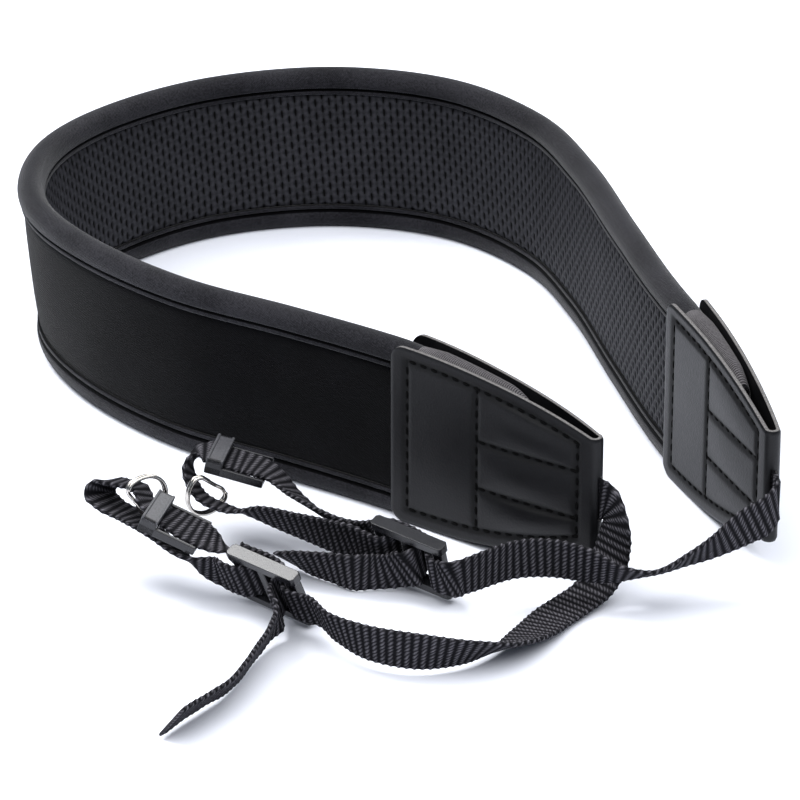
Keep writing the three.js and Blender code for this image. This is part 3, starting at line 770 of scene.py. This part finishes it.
def border(share, side):
    """Height share of the seam a margin inside the upper (side 1) or lower (side -1) edge."""
    half = tab_half_height(share)
    return 1 - TOP_MARGIN / half if side > 0 else BOTTOM_MARGIN / half - 1


def channel(share, side):
    """Height share of the seam that holds the strap from above (side 1) or below (side -1)."""
    return (CHANNEL_TOP if side > 0 else CHANNEL_BOTTOM) / tab_half_height(share)


def cell(value, start, stop):
    """A swelling between two seams: a half sine that is zero at both and outside them."""
    return np.sin(np.pi * np.clip((value - start) / (stop - start), 0, 1))


def seam_distance(share, height):
    """Distance to the nearest seam: uprights at fixed shares, and lengthwise lines between them."""
    half = tab_half_height(share)
    away = np.full(share.shape, np.inf)
    for at in (SEAM_WIDE, SEAM_MIDDLE, SEAM_FOLD):
        beyond = np.maximum(0, np.maximum(border(at, -1) - height, height - border(at, 1)))
        away = np.minimum(away, np.hypot((share - at) * TAB_LENGTH, beyond * half))
    for line, start in ((border, SEAM_WIDE), (channel, SEAM_MIDDLE)):
        beyond = np.maximum(0, np.maximum(start - share, share - SEAM_FOLD))
        for side in (1, -1):
            away = np.minimum(away, np.hypot((height - line(share, side)) * half, beyond * TAB_LENGTH))
    return away


def tab_relief(end, share, height):
    """How far the leather stands out: it swells between seams, sinks along them and rolls in at edges."""
    top, bottom = border(share, 1), border(share, -1)
    upper, lower = channel(share, 1), channel(share, -1)
    wide_cell = cell(share, SEAM_WIDE, SEAM_MIDDLE) * cell(height, bottom, top)
    rows = cell(height, lower, upper) + cell(height, upper, top) + cell(height, bottom, lower)
    puff = LEFT_PUFF if end < 0 else RIGHT_PUFF
    relief = puff * (WIDE_PUFF * wide_cell + cell(share, SEAM_MIDDLE, SEAM_FOLD) * rows)
    relief = relief - SEAM_SINK * np.exp(-((seam_distance(share, height) / SEAM_SPREAD) ** 2))
    to_edge = np.minimum((1 - np.abs(height)) * tab_half_height(share), share * TAB_LENGTH)
    return relief - EDGE_ROLL * np.exp(-((to_edge / EDGE_SPREAD) ** 2))


def tab_point(end, side, share, turn, height, depth):
    """A point of a tab: out on its leaf by its room and depth, turned round the fold, at a height share."""
    to_fold = TAB_LENGTH * (1 - share)
    at, ahead, outward, _ = pad_frame(to_fold if end < 0 else PAD_LENGTH - to_fold)
    corner = np.maximum(0, 1 - share * TAB_LENGTH / TAB_CORNER)
    half = tab_half_height(share) - TAB_CORNER * (1 - np.sqrt(1 - corner**2))
    reach = tab_half_room(share) + depth
    sideways = reach * np.cos(turn) * side
    forward = reach * np.sin(turn) * end
    points = at + outward * sideways[..., None] + ahead * forward[..., None]
    return points + UP * (WIDE_HEIGHT / 2 + height * half)[..., None]


def leaf_point(end, side, share, height):
    """A point on the outer face of a leaf."""
    turn = np.zeros_like(share)
    return tab_point(end, side, share, turn, height, LEATHER_THICK + tab_relief(end, share, height))


WIDE_STEPS = 9
LEAF_STEPS = 120
MARGIN_STEPS = 28
SLOT_STEPS = 24
FOLD_STEPS = 10
EDGE_ROWS = np.array([0, 0.004, 0.01, 0.02, 0.035])
MARGIN_END = 0.95
AREA_STEPS = 101


def tab_grid(slot_low, slot_high):
    """Shares, turns round the fold, sides and height shares of a tab's grid of points: out along one leaf,
    round the fold and back along the other, with finer rows at the cut edges."""
    wide = 1 - np.cos(np.linspace(0, np.pi / 2, WIDE_STEPS))
    leaf = np.linspace(SEAM_WIDE, 1, LEAF_STEPS)[1:]
    share = np.concatenate([wide * SEAM_WIDE, leaf, np.ones(FOLD_STEPS - 1)])
    turn = np.radians(np.linspace(0, 90, FOLD_STEPS))[1:]
    turn = np.concatenate([np.zeros(len(share) - len(turn)), turn])
    side = np.concatenate([np.ones(len(share)), -np.ones(len(share) - 1)])
    share = np.concatenate([share, share[-2::-1]])
    turn = np.concatenate([turn, turn[-2::-1]])
    below = np.linspace(-MARGIN_END, slot_low, MARGIN_STEPS)
    within = np.linspace(slot_low, slot_high, SLOT_STEPS)[1:-1]
    above = np.linspace(slot_high, MARGIN_END, MARGIN_STEPS)
    height = np.concatenate([EDGE_ROWS - 1, below, within, above, 1 - EDGE_ROWS[::-1]])
    spread = np.ones((len(share), len(height)))
    return share[:, None] * spread, turn[:, None] * spread, side[:, None] * spread, height * spread


def tab(name, node, end):
    """One sheet of leather folded round the pad's end. Two grids of points, its face and its lining, are
    joined along its cut edges and round the strap's slot in the fold."""
    slot_half = STRAP_WIDTH / 2 + GAP
    slot_low, slot_high = (
        (STRAP_HEIGHT + way * slot_half - WIDE_HEIGHT / 2) / (FOLD_HEIGHT / 2) for way in (-1, 1)
    )
    share, turn, side, height = tab_grid(slot_low, slot_high)
    face = tab_point(end, side, share, turn, height, LEATHER_THICK + tab_relief(end, share, height))
    lining = tab_point(end, side, share, turn, height, np.zeros(share.shape))
    rows, columns = share.shape
    quads = grid_faces(rows, columns, False)
    middle_height = height.ravel()[quads].mean(1)
    in_slot = turn.ravel()[quads].mean(1) > math.radians(SLOT_TURN)
    in_slot &= (middle_height > slot_low) & (middle_height < slot_high)
    kept = quads[~in_slot]
    edges = np.concatenate([kept[:, [0, 1]], kept[:, [1, 2]], kept[:, [2, 3]], kept[:, [3, 0]]])
    _, first, times = np.unique(np.sort(edges, axis=1), axis=0, return_index=True, return_counts=True)
    rim_edges = edges[first[times == 1]]
    count = rows * columns
    rim = np.hstack([rim_edges[:, ::-1], rim_edges + count])
    faces = np.concatenate([kept, kept[:, ::-1] + count, rim])
    points = np.concatenate([face.reshape(-1, 3), lining.reshape(-1, 3)])
    used, order = np.unique(faces, return_inverse=True)
    finish_of = np.concatenate([np.zeros(2 * len(kept), int), np.ones(len(rim), int)])
    parts = (points[used], order.reshape(faces.shape).tolist(), None)
    # Nearness to a seam, for painted shade in the leather's sunken seams; the lining gets none.
    seam = np.exp(-((seam_distance(share, height) / SEAM_SHADE) ** 2)).ravel()
    seam = np.concatenate([seam, np.zeros(count)])[used]
    piece = add_piece(name, parts, [LEATHER, CUT_EDGE], finish_of, seam)
    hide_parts(node)
    mean_height = 2 * np.mean(tab_half_height(np.linspace(0, 1, AREA_STEPS)))
    return piece


tab("tab_left_leather", "tab_left", -1)
tab("tab_right_leather", "tab_right", 1)

STITCH_PITCH = 4.2
STITCH_LENGTH = 2.7
STITCH_WIDTH = 1.25
STITCH_RISE = 0.5
STITCH_DIP = 0.2
STITCH_LIFT = 0.03
STITCH_STATIONS = np.array([-1, -0.86, -0.4, 0.4, 0.86, 1])
STITCH_SIDES = 6
STITCH_TIP = 0.02
SEAM_STEPS = 60
SMALL_SHARE = 0.004


def stitch_paths():
    """The seams as lines of shares and height shares."""
    spread = np.linspace(0, 1, SEAM_STEPS)
    paths = []
    for at in (SEAM_WIDE, SEAM_MIDDLE, SEAM_FOLD):
        low, high = border(at, -1), border(at, 1)
        paths.append((np.full(SEAM_STEPS, at), low + (high - low) * spread))
    for line, start in ((border, SEAM_WIDE), (channel, SEAM_MIDDLE)):
        share = start + (SEAM_FOLD - start) * spread
        paths += [(share, line(share, side)) for side in (1, -1)]
    return paths


def seam_places(end, side, share, height):
    """Middles, directions and outward sides of the stitches along one seam of a leaf."""
    line = leaf_point(end, side, share, height)
    reach = lengths_of(line)
    places = np.arange(STITCH_PITCH / 2, reach[-1], STITCH_PITCH)
    share_at = np.interp(places, reach, share)
    height_at = np.interp(places, reach, height)
    here = leaf_point(end, side, share_at, height_at)
    lengthways = leaf_point(end, side, share_at + SMALL_SHARE, height_at) - here
    upwards = leaf_point(end, side, share_at, height_at + SMALL_SHARE) - here
    out = unit(np.cross(lengthways, upwards))
    _, _, outward, _ = pad_frame(np.full(len(places), 0.0 if end < 0 else PAD_LENGTH))
    out = out * np.sign(np.sum(out * outward * side, -1, keepdims=True))
    ahead = np.stack([np.interp(places, reach, np.gradient(column, reach)) for column in line.T], -1)
    return here, unit(ahead), out


def stitches(name, end):
    """Stitches along the seams of both leaves: each is a small rounded bar that dips at its ends,
    an ellipse carried along the seam's direction and lying on the leather's face."""
    seams = [seam_places(end, side, *path) for side in (1, -1) for path in stitch_paths()]
    centre, way, out = (np.concatenate(rows)[:, None, None] for rows in zip(*seams))
    beside = np.cross(out, way)
    along = STITCH_STATIONS[:, None, None]
    swell = np.sqrt(np.maximum(STITCH_TIP, 1 - along**4))
    turn = np.linspace(0, 2 * np.pi, STITCH_SIDES + 1)[None, :-1, None]
    points = centre + way * along * STITCH_LENGTH / 2
    points = points + beside * swell * np.cos(turn) * STITCH_WIDTH / 2
    points = points + out * (swell * (np.sin(turn) * STITCH_RISE / 2 + STITCH_DIP) + STITCH_LIFT)
    count, rows, columns = points.shape[:3]
    quads = grid_faces(rows, columns, True)
    ends = np.array([range(columns), range((rows - 1) * columns, rows * columns)])
    offsets = (np.arange(count) * rows * columns)[:, None, None]
    faces = (quads[None] + offsets).reshape(-1, 4).tolist()
    faces += (ends[None] + offsets).reshape(-1, columns).tolist()
    return add_piece(name, (points.reshape(-1, 3), faces, None), [THREAD])


stitches("tab_left_stitches", -1)
stitches("tab_right_stitches", 1)

# Places of the hard pieces: middle, heading and pitch of the long axis, lean of the upper edge


def hard_frame(x, y, z, heading, pitch, lean):
    """A hard piece's middle and axes: along it, towards its upper edge, and out of its front."""
    along = pointing(heading, pitch)
    upright = unit(UP - along * (UP @ along))
    side = np.cross(along, upright)
    turn = math.radians(lean)
    edge = upright * math.cos(turn) + side * math.sin(turn)
    return np.array([x, y, z]), np.stack([along, edge, np.cross(along, edge)])


SLIDER_LEFT = hard_frame(-34.8, -108.6, 11.5, -41.6, -0.7, 24.6)
SLIDER_RIGHT = hard_frame(8.1, -93.4, 12.9, -38.5, -2.1, 17)
KEEPER_LEFT = hard_frame(-64.6, -90.5, 23.3, 165, 21, -93)
KEEPER_RIGHT = hard_frame(-46.2, -49, 23.4, 169, 12, -91)
KEEPER_LENGTH = 19

# Webbing rows: x, y, z, heading and rise of the upper edge, and the width where the strap is bunched

LEFT_FROM_TAB = [
    (68.4, -88.2, 28, 296, 80), (70, -91, 23.5, 310, 60), (69.4, -92, 15.5, 320, 30),
    (66.8, -93, 7.4, 325, 10), (62.6, -96.8, 3, 325, 3), (57, -103, 1.9, 326, 0),
    (50.8, -111, 1.8, 322, 0), (44.4, -122.5, 2.8, 306, 9), (35.4, -136, 5, 272, 27),
    (24.8, -143, 7, 268, 54), (9, -145, 8.5, 266, 78), (-6, -141, 9.4, 262, 76),
    (-16, -132.6, 9.8, 246, 64),
]
LEFT_LOOP = [
    (-76, -79.8, 29.6, 244, 4, 7), (-80.6, -76.6, 29.7, 236, 10, 7.2), (-86.2, -73.8, 28.8, 226, 16, 13),
    (-88.6, -74.4, 25.4, 226, 16), (-85.2, -77.2, 22.6, 228, 16), (-78.4, -80.8, 20.4, 234, 16),
    (-70, -87.6, 17.2, 238, 26), (-60.8, -94.8, 12.8, 238, 38),
]
LEFT_TAIL = [
    (-33.4, -124, 8.8, 262, 34), (-36, -133.2, 7.2, 268, 32), (-39.6, -143.8, 6.6, 270, 33),
    (-43.1, -153.8, 6.5, 270, 34), (-47.3, -162.8, 6.5, 270, 34), (-53, -170.8, 6.5, 270, 35),
    (-58.2, -177.8, 6.5, 270, 35.5), (-62.6, -184.4, 6.5, 270, 36),
]
RIGHT_FROM_TAB = [
    (119.6, -85.2, 28.4, 270, 88), (116.4, -89.8, 26, 270, 86), (109.4, -92.4, 22.5, 270, 80),
    (100.9, -95, 18, 270, 60), (91.9, -98.4, 15, 270, 42), (80.9, -103, 12.5, 270, 30),
    (71, -104.6, 13.1, 270, 46), (62.2, -102.4, 14.6, 270, 74), (50.7, -98.6, 15.3, 270, 84),
    (39.1, -98.6, 14.8, 268, 84),
]
RIGHT_TO_KEEPER = [
    (-4.8, -78, 13.4, 264, 52), (-13.1, -73.2, 13.4, 267, 40), (-20.6, -66.5, 14.2, 268, 31),
    (-28.5, -58.5, 16.2, 265, 20),
]
RIGHT_LOOP = [
    (-60, -47.6, 24.8, 256, 2, 12), (-62, -51.8, 21.2, 250, 4, 7.4), (-58.2, -57.8, 15.8, 250, 6, 6.4),
    (-50.3, -61.4, 13.2, 252, 16, 8), (-39.4, -64, 12.4, 258, 46), (-27.1, -70.4, 11.6, 261, 60),
    (-16, -78, 11.8, 261, 72),
]
RIGHT_TAIL = [
    (-4, -92, 7.2, 262, 78), (-10.5, -92.7, 7.2, 266, 78), (-17.5, -89.2, 7, 268, 66),
    (-24.8, -85.4, 6.6, 270, 53), (-32.2, -81, 6.4, 270, 32),
]

# Webbing rows inside a hard piece: along it, over its front, towards its upper edge, and the width

LEFT_TO_SLIDER = [(19.5, 2.4)]
RIGHT_TO_SLIDER = [(19.5, 2.4, 2)]
MAIN_IN_SLIDER = [
    (14, 3.2), (9.9, 3.2), (6.8, 0.6), (4.6, -3.4), (-1, -5.2), (-11.6, -5.1),
]
LEFT_PAST_SLIDER = [(-16.5, -4.8)]
LEFT_RETURN_IN_SLIDER = [
    (-20, 3.4), (-14.5, 3.8), (-9.8, 3.2), (-6.4, 0.2), (-3, -3), (-0.6, -3.2), (2, -2.2), (4, 0.6),
    (5.4, 4.6),
]
RIGHT_RETURN_IN_SLIDER = [
    (-20, 3), (-14.5, 3.4), (-9.8, 3.2), (-6.4, 0.2), (-3, -3), (-0.6, -3.2), (1.8, -2.2), (2.6, 0.4),
    (1.8, 3.2, -0.5), (-2, 4.2, -2.6), (-6, 5.8, -3.8),
]
IN_LEFT_KEEPER = [
    (-KEEPER_LENGTH / 2 - 1, 0), (-KEEPER_LENGTH / 6, 0), (KEEPER_LENGTH / 6, 0, -1, 11),
    (KEEPER_LENGTH / 2 + 1, 0, -3, 7.6),
]
IN_RIGHT_KEEPER = [
    (-KEEPER_LENGTH / 2 - 1, 0, 1.4, 10.4), (-KEEPER_LENGTH / 6, 0), (KEEPER_LENGTH / 6, 0),
    (KEEPER_LENGTH / 2 + 1, 0),
]
NARROW = 13.2
START_IN_TAB = 21
PAST_FOLD = 3


def threaded(place, rows, width=STRAP_WIDTH):
    """Strap rows inside a hard piece, as middle, upper edge and width."""
    middle, axes = place
    usual = (0, 0, 0, width)
    full = np.array([(*row, *usual[len(row):]) for row in rows])
    at = middle + full[:, [0, 2, 1]] @ axes
    return np.hstack([at, np.broadcast_to(axes[1], at.shape), full[:, 3:]])


def laid(rows):
    """Strap rows in the open, as middle, upper edge and width."""
    full = np.array([row if len(row) == 6 else (*row, STRAP_WIDTH) for row in rows])
    return np.hstack([full[:, :3], pointing(full[:, 3], full[:, 4]), full[:, 5:]])


def from_tab(end):
    """Strap rows from inside a tab to just past its fold."""
    past = np.array([-START_IN_TAB, -START_IN_TAB / 2, 0, PAST_FOLD])
    at, _, _, _ = pad_frame(-past if end < 0 else PAD_LENGTH + past)
    rows = np.hstack([at + UP * STRAP_HEIGHT, np.broadcast_to(UP, at.shape)])
    return np.hstack([rows, np.full((len(past), 1), STRAP_WIDTH)])


RIB_STEPS = 7
RIB_HEIGHT = 0.16
TOOTH = 0.3
SEALED = 1.2
SEALED_THIN = 0.55
LINE_STEPS = 60
FACE_STEPS = 13
FACE_SHARE = 0.93

# The strap's rounded edge: shares of its half width and of its half thickness

STRAP_EDGE = np.array([(-0.978, 0.78), (-1, 0.3), (-1, -0.3), (-0.978, -0.78)])


def webbing(name, node, rows):
    """A woven strap: a flat rounded section carried along its rows, thicker and wider at each cross rib.
    The rib is a squared raised cosine of the length, so its crest is narrow and the valley wide."""
    rows = np.vstack(rows)
    shares = np.linspace(0, 1, LINE_STEPS * len(rows))
    line = through(rows[:, :3], shares)
    edge_way = through(rows[:, 3:6], shares, even=True)
    width = through(rows[:, 6:], shares, even=True)
    reach = lengths_of(line)
    length = reach[-1]
    place = np.linspace(0, length, int(length * RIB_STEPS / WEAVE_PITCH))

    def at_places(values):
        return np.stack([np.interp(place, reach, column) for column in values.T], -1)

    middle = at_places(line)
    along = unit(np.gradient(middle, place, axis=0))
    edge = at_places(edge_way)
    edge = unit(edge - along * np.sum(edge * along, -1, keepdims=True))
    front = np.cross(along, edge)
    rib = (0.5 + 0.5 * np.cos(2 * np.pi * place / WEAVE_PITCH)) ** 2
    sealed = np.clip(np.minimum(place, length - place) / SEALED, 0, 1) ** 0.5
    thick = STRAP_THICK / 2 - RIB_HEIGHT / 2 + RIB_HEIGHT * rib
    thick = thick * (SEALED_THIN + (1 - SEALED_THIN) * sealed)
    half = at_places(width)[:, 0] / 2 - TOOTH / 2 + TOOTH * (rib - 0.5)
    face = np.stack([np.linspace(FACE_SHARE, -FACE_SHARE, FACE_STEPS), np.ones(FACE_STEPS)], -1)
    section = np.vstack([face, STRAP_EDGE, -face, -STRAP_EDGE])
    wide = half[:, None] * section[:, 0]
    deep = thick[:, None] * section[:, 1]
    loops = middle[:, None] + edge[:, None] * wide[..., None] + front[:, None] * deep[..., None]
    piece = add_piece(name, tube_parts(loops, place), [WEBBING])
    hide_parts(node)
    return piece


webbing("webbing_left_weave", "webbing_left", [
    from_tab(-1), laid(LEFT_FROM_TAB),
    threaded(SLIDER_LEFT, LEFT_TO_SLIDER + MAIN_IN_SLIDER + LEFT_PAST_SLIDER),
    threaded(KEEPER_LEFT, IN_LEFT_KEEPER, NARROW), laid(LEFT_LOOP),
    threaded(SLIDER_LEFT, LEFT_RETURN_IN_SLIDER), laid(LEFT_TAIL),
])
webbing("webbing_right_weave", "webbing_right", [
    from_tab(1), laid(RIGHT_FROM_TAB),
    threaded(SLIDER_RIGHT, RIGHT_TO_SLIDER + MAIN_IN_SLIDER), laid(RIGHT_TO_KEEPER),
    threaded(KEEPER_RIGHT, IN_RIGHT_KEEPER, NARROW), laid(RIGHT_LOOP),
    threaded(SLIDER_RIGHT, RIGHT_RETURN_IN_SLIDER), laid(RIGHT_TAIL),
])

# Sliders, keepers and rings


def rectangle(length, width):
    """Corners of a rectangle round its middle."""
    x, y = length / 2, width / 2
    return [(x, -y), (x, y), (-x, y), (-x, -y)]


def chamfered(length, width, chamfer):
    """Corners of a rectangle round its middle whose own corners are cut off."""
    x, y = length / 2, width / 2
    right = [(x - chamfer, -y), (x, chamfer - y), (x, y - chamfer), (x - chamfer, y)]
    return right + [(-across, -up) for across, up in right]


ROUND_STEPS = 5
CORNER_CLOSING = 0.6
LEAST_CORNER = 0.05
BLOCK_ROUNDING = 0.4


def rounded(corners, radius):
    """Points round an outline whose corners are eased by parabolas that start a radius away from them."""
    corners = np.asarray(corners, float)
    before = corners + unit(np.roll(corners, 1, 0) - corners) * radius
    after = corners + unit(np.roll(corners, -1, 0) - corners) * radius
    share = np.linspace(0, 1, ROUND_STEPS)[None, :, None]
    pull = 2 * share * (1 - share) * corners[:, None]
    eased = (1 - share) ** 2 * before[:, None] + pull + share**2 * after[:, None]
    return eased.reshape(-1, 2)


def bar(length, outline, radius):
    """A bar along x with rounded edges: the outline at a depth is carried along it, and the depth runs
    on a quarter circle at both ends."""
    turn = np.linspace(0, np.pi / 2, ROUND_STEPS)
    place = radius * (1 - np.cos(turn)) - length / 2
    depth = radius * (1 - np.sin(turn))
    corner = np.maximum(LEAST_CORNER, radius - CORNER_CLOSING * depth)
    shapes = np.array([rounded(outline(inset), ease) for inset, ease in zip(depth, corner)])
    shapes = np.concatenate([shapes, shapes[::-1]])
    place = np.concatenate([place, -place[::-1]])
    along = np.broadcast_to(place[:, None, None], (*shapes.shape[:2], 1))
    return tube_parts(np.concatenate([along, shapes], -1))


def block(size, at, radius=BLOCK_ROUNDING):
    """A rounded bar along x of a length, width and height, at its place."""
    length, width, height = size

    def outline(inset):
        return rectangle(width - 2 * inset, height - 2 * inset)

    points, faces, lay = bar(length, outline, radius)
    return points + np.asarray(at), faces, lay


FLATNESS = 100


def moulded(name, node, parts, place, lit_solids=()):
    """A plastic piece of several solids, moved from its own axes to its place; some solids get the paler
    bridge plastic, a painted highlight.
    """
    middle, axes = place
    points, faces, lay = joined(parts)
    counts = [len(part_faces) for _, part_faces, _ in parts]
    finish_of = np.repeat(np.isin(np.arange(len(parts)), lit_solids).astype(int), counts)
    placed = (middle + points @ axes, faces, lay)
    piece = add_piece(name, placed, [PLASTIC, LIT_BRIDGE_PLASTIC], finish_of)
    piece.modifiers.new("flat_faces", "WEIGHTED_NORMAL").weight = FLATNESS
    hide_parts(node)
    return piece


SLIDER_LENGTH = 27.5
SLIDER_WIDTH = 21
SLIDER_THICK = 4.4
SLIDER_CHAMFER = 0.8
SLIDER_BAR = 3.2
SLIDER_BAR_THICK = 3.4
SLIDER_BAR_INSET = 0.7
SLIDER_MIDDLE = -1.2
PLATE_ROUNDING = 0.22
BAR_ROUNDING = 0.8


def slider(name, node, place):
    """A three-bar slider: two side plates, each a chamfered outline carried across its width, and three
    rounded bars that are let into them."""
    opening = STRAP_WIDTH + 4 * GAP
    plate = (SLIDER_WIDTH - opening) / 2

    def plate_outline(inset):
        return chamfered(SLIDER_LENGTH - 2 * inset, SLIDER_THICK - 2 * inset, SLIDER_CHAMFER)

    parts = []
    for side in (-1, 1):
        points, faces, lay = bar(plate, plate_outline, PLATE_ROUNDING)
        points = points[:, [1, 0, 2]] + (0, side * (opening + plate) / 2, 0)
        parts.append((points, faces, lay))
    end = SLIDER_LENGTH / 2 - SLIDER_BAR_INSET - SLIDER_BAR / 2
    size = (opening + plate, SLIDER_BAR, SLIDER_BAR_THICK)
    for x in (-end, SLIDER_MIDDLE, end):
        points, faces, lay = block(size, (0, 0, 0), BAR_ROUNDING)
        parts.append((points[:, [1, 0, 2]] + (x, 0, 0), faces, lay))
    return moulded(name, node, parts, place)


slider("slider_left_moulded", "slider_left", SLIDER_LEFT)
slider("slider_right_moulded", "slider_right", SLIDER_RIGHT)

KEEPER_WIDTH = 17
KEEPER_RAIL = 1.3
KEEPER_DROP = 1
KEEPER_FLOOR = 1.2
KEEPER_BRIDGE = 5.5
KEEPER_RIB = 0.9
KEEPER_PROUD = 0.3
KEEPER_END = 3
KEEPER_WALL = 1.5
KEEPER_ROOM = 2.6
RIM_ROUNDING = 0.3
# Solids of a keeper that get the paler plastic as painted highlight: the bridge over the strap and its rims
BRIDGE_PARTS = (2, 3, 4)


def keeper(name, node, place):
    """A keeper of rounded bars: a bridge with two rims over the strap, low rails, and bars under it."""
    under = -KEEPER_ROOM / 2 - KEEPER_FLOOR / 2
    over = KEEPER_ROOM / 2 + KEEPER_WALL / 2
    rail_height = KEEPER_ROOM + KEEPER_FLOOR
    low_height = rail_height - KEEPER_DROP
    bridge_at = (KEEPER_LENGTH - KEEPER_BRIDGE) / 2
    rib_at = (KEEPER_LENGTH - KEEPER_RIB) / 2
    parts = [
        block((KEEPER_END, KEEPER_WIDTH, KEEPER_FLOOR), (-(KEEPER_LENGTH - KEEPER_END) / 2, 0, under)),
        block((KEEPER_BRIDGE, KEEPER_WIDTH, KEEPER_FLOOR), (bridge_at, 0, under)),
        block((KEEPER_BRIDGE, KEEPER_WIDTH, KEEPER_WALL), (bridge_at, 0, over)),
    ]
    rim = (KEEPER_RIB, KEEPER_WIDTH, KEEPER_WALL)
    for x in (rib_at, rib_at - KEEPER_BRIDGE + KEEPER_RIB):
        parts.append(block(rim, (x, 0, over + KEEPER_PROUD), RIM_ROUNDING))
    for side in (-1, 1):
        y = side * (KEEPER_WIDTH - KEEPER_RAIL) / 2
        low = under - KEEPER_FLOOR / 2 + low_height / 2
        parts.append(block((KEEPER_LENGTH, KEEPER_RAIL, low_height), (0, y, low)))
        wall = (KEEPER_BRIDGE, KEEPER_RAIL, rail_height + KEEPER_WALL)
        parts.append(block(wall, (bridge_at, y, (KEEPER_WALL - KEEPER_FLOOR) / 2)))
    return moulded(name, node, parts, place, BRIDGE_PARTS)


keeper("keeper_left_moulded", "keeper_left", KEEPER_LEFT)
keeper("keeper_right_moulded", "keeper_right", KEEPER_RIGHT)

RING_HALF_WIDTH = 6.5
RING_CORNER = 2.6
RING_RISE = 8
RING_WIRE = 0.62
RING_TURNS = (0.02, 1.87)
RING_CROSSING = (0.9, 1.0)
RING_STEPS = 260
RING_SIDES = 12
RING_TIP_STEPS = 3
RING_TIP = 0.5
CORNER_STEPS = 20
ARCH_STEPS = 80

# Places of the rings: middle, and heading and rise of the straight side and of the axis

RING_LEFT = ((-73, -80.2, 28.2), (10, -60), (298, 10))
RING_RIGHT = ((-57.4, -57.8, 15.2), (202, 39), (295, 3))


def ring_outline():
    """Points round a D: a straight side, two corner arcs and an arch."""
    flat = RING_HALF_WIDTH - RING_CORNER
    turn = np.linspace(0, np.pi / 2, CORNER_STEPS)
    near = np.stack([flat + RING_CORNER * np.sin(turn), RING_CORNER * (1 - np.cos(turn))], -1)
    turn = np.linspace(0, np.pi, ARCH_STEPS)
    arch = np.stack([RING_HALF_WIDTH * np.cos(turn), RING_CORNER + RING_RISE * np.sin(turn)], -1)
    far = near[::-1] * (-1, 1)
    return np.vstack([[(0, 0)], near, arch[1:-1], far, [(0, 0)]])


def ring(name, node, middle, side, axis):
    """A split ring: round wire carried nearly twice along a D-shaped outline, its turns side by side."""
    outline = ring_outline()
    reach = lengths_of(outline)
    turns = np.linspace(*RING_TURNS, RING_STEPS)
    lengths = (turns % 1) * reach[-1]
    x = np.interp(lengths, reach, outline[:, 0])
    y = np.interp(lengths, reach, outline[:, 1]) - (RING_CORNER + RING_RISE) / 2
    start, stop = RING_CROSSING
    cross = np.clip((turns - start) / (stop - start), 0, 1)
    lift = (RING_WIRE + GAP / 4) * (2 * cross**2 * (3 - 2 * cross) - 1)
    line = np.stack([x, y, lift], -1)
    along = unit(np.gradient(line, axis=0))
    beside = unit(np.cross(along, UP))
    over = np.cross(beside, along)
    angle = np.linspace(0, 2 * np.pi, RING_SIDES + 1)[None, :-1, None]
    count = np.arange(RING_STEPS)
    ends = np.minimum(1, np.minimum(count, count[::-1]) / RING_TIP_STEPS + RING_TIP)[:, None, None]
    section = beside[:, None] * np.cos(angle) + over[:, None] * np.sin(angle)
    loops = line[:, None] + RING_WIRE * ends * section
    out = pointing(*axis)
    across = pointing(*side)
    across = unit(across - out * (across @ out))
    points, faces, lay = tube_parts(loops)
    points = np.array(middle) + points @ np.stack([across, np.cross(out, across), out])
    piece = add_piece(name, (points, faces, lay), [NICKEL])
    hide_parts(node)
    return piece


ring("ring_left_wire", "ring_left", *RING_LEFT)
ring("ring_right_wire", "ring_right", *RING_RIGHT)

# Floor and light

FLOOR_HALF = 4.0
FLOOR_DROP = 0.0002

# Lamps: place and size in metres, and watts

LAMPS = {
    "back_left": ((-0.95, 0.5, 1.4), (0.66, 0.66), 22),
    "overhead": ((0.05, -0.45, 1.9), (4.0, 3.2), 105),
    "back_right": ((0.5, 1.45, 1.05), (1.0, 0.7), 9),
}
SURROUND = (0.72, 0.83, 1.0)
SURROUND_STRENGTH = 0.25


def add_floor():
    """A wide flat floor just under the strap."""
    mesh = bpy.data.meshes.new("floor")
    half = FLOOR_HALF
    corners = [(-half, -half), (half, -half), (half, half), (-half, half)]
    mesh.from_pydata([(x, y, -FLOOR_DROP) for x, y in corners], [], [(0, 1, 2, 3)])
    mesh.materials.append(FLOOR)
    floor = bpy.data.objects.new("floor", mesh)
    bpy.context.scene.collection.objects.link(floor)


def add_lamp(name, at, size, power):
    """A soft lamp that faces the strap."""
    data = bpy.data.lights.new(name, "AREA")
    data.shape = "RECTANGLE"
    data.size, data.size_y = size
    data.energy = power
    lamp = bpy.data.objects.new(name, data)
    way = -np.array(at)
    turn = math.atan2(way[1], way[0]) - math.pi / 2
    tilt = math.acos(-way[2] / np.linalg.norm(way))
    lamp.location = at
    lamp.rotation_euler = (tilt, 0, turn)
    bpy.context.scene.collection.objects.link(lamp)


def add_world(colour, strength):
    """An even pale surround."""
    world = bpy.data.worlds.new("studio")
    world.use_nodes = True
    background = world.node_tree.nodes["Background"]
    background.inputs["Color"].default_value = (*colour, 1)
    background.inputs["Strength"].default_value = strength
    bpy.context.scene.world = world


add_floor()
for lamp_name, settings in LAMPS.items():
    add_lamp(lamp_name, *settings)
add_world(SURROUND, SURROUND_STRENGTH)
bpy.context.scene.view_settings.view_transform = "Standard"
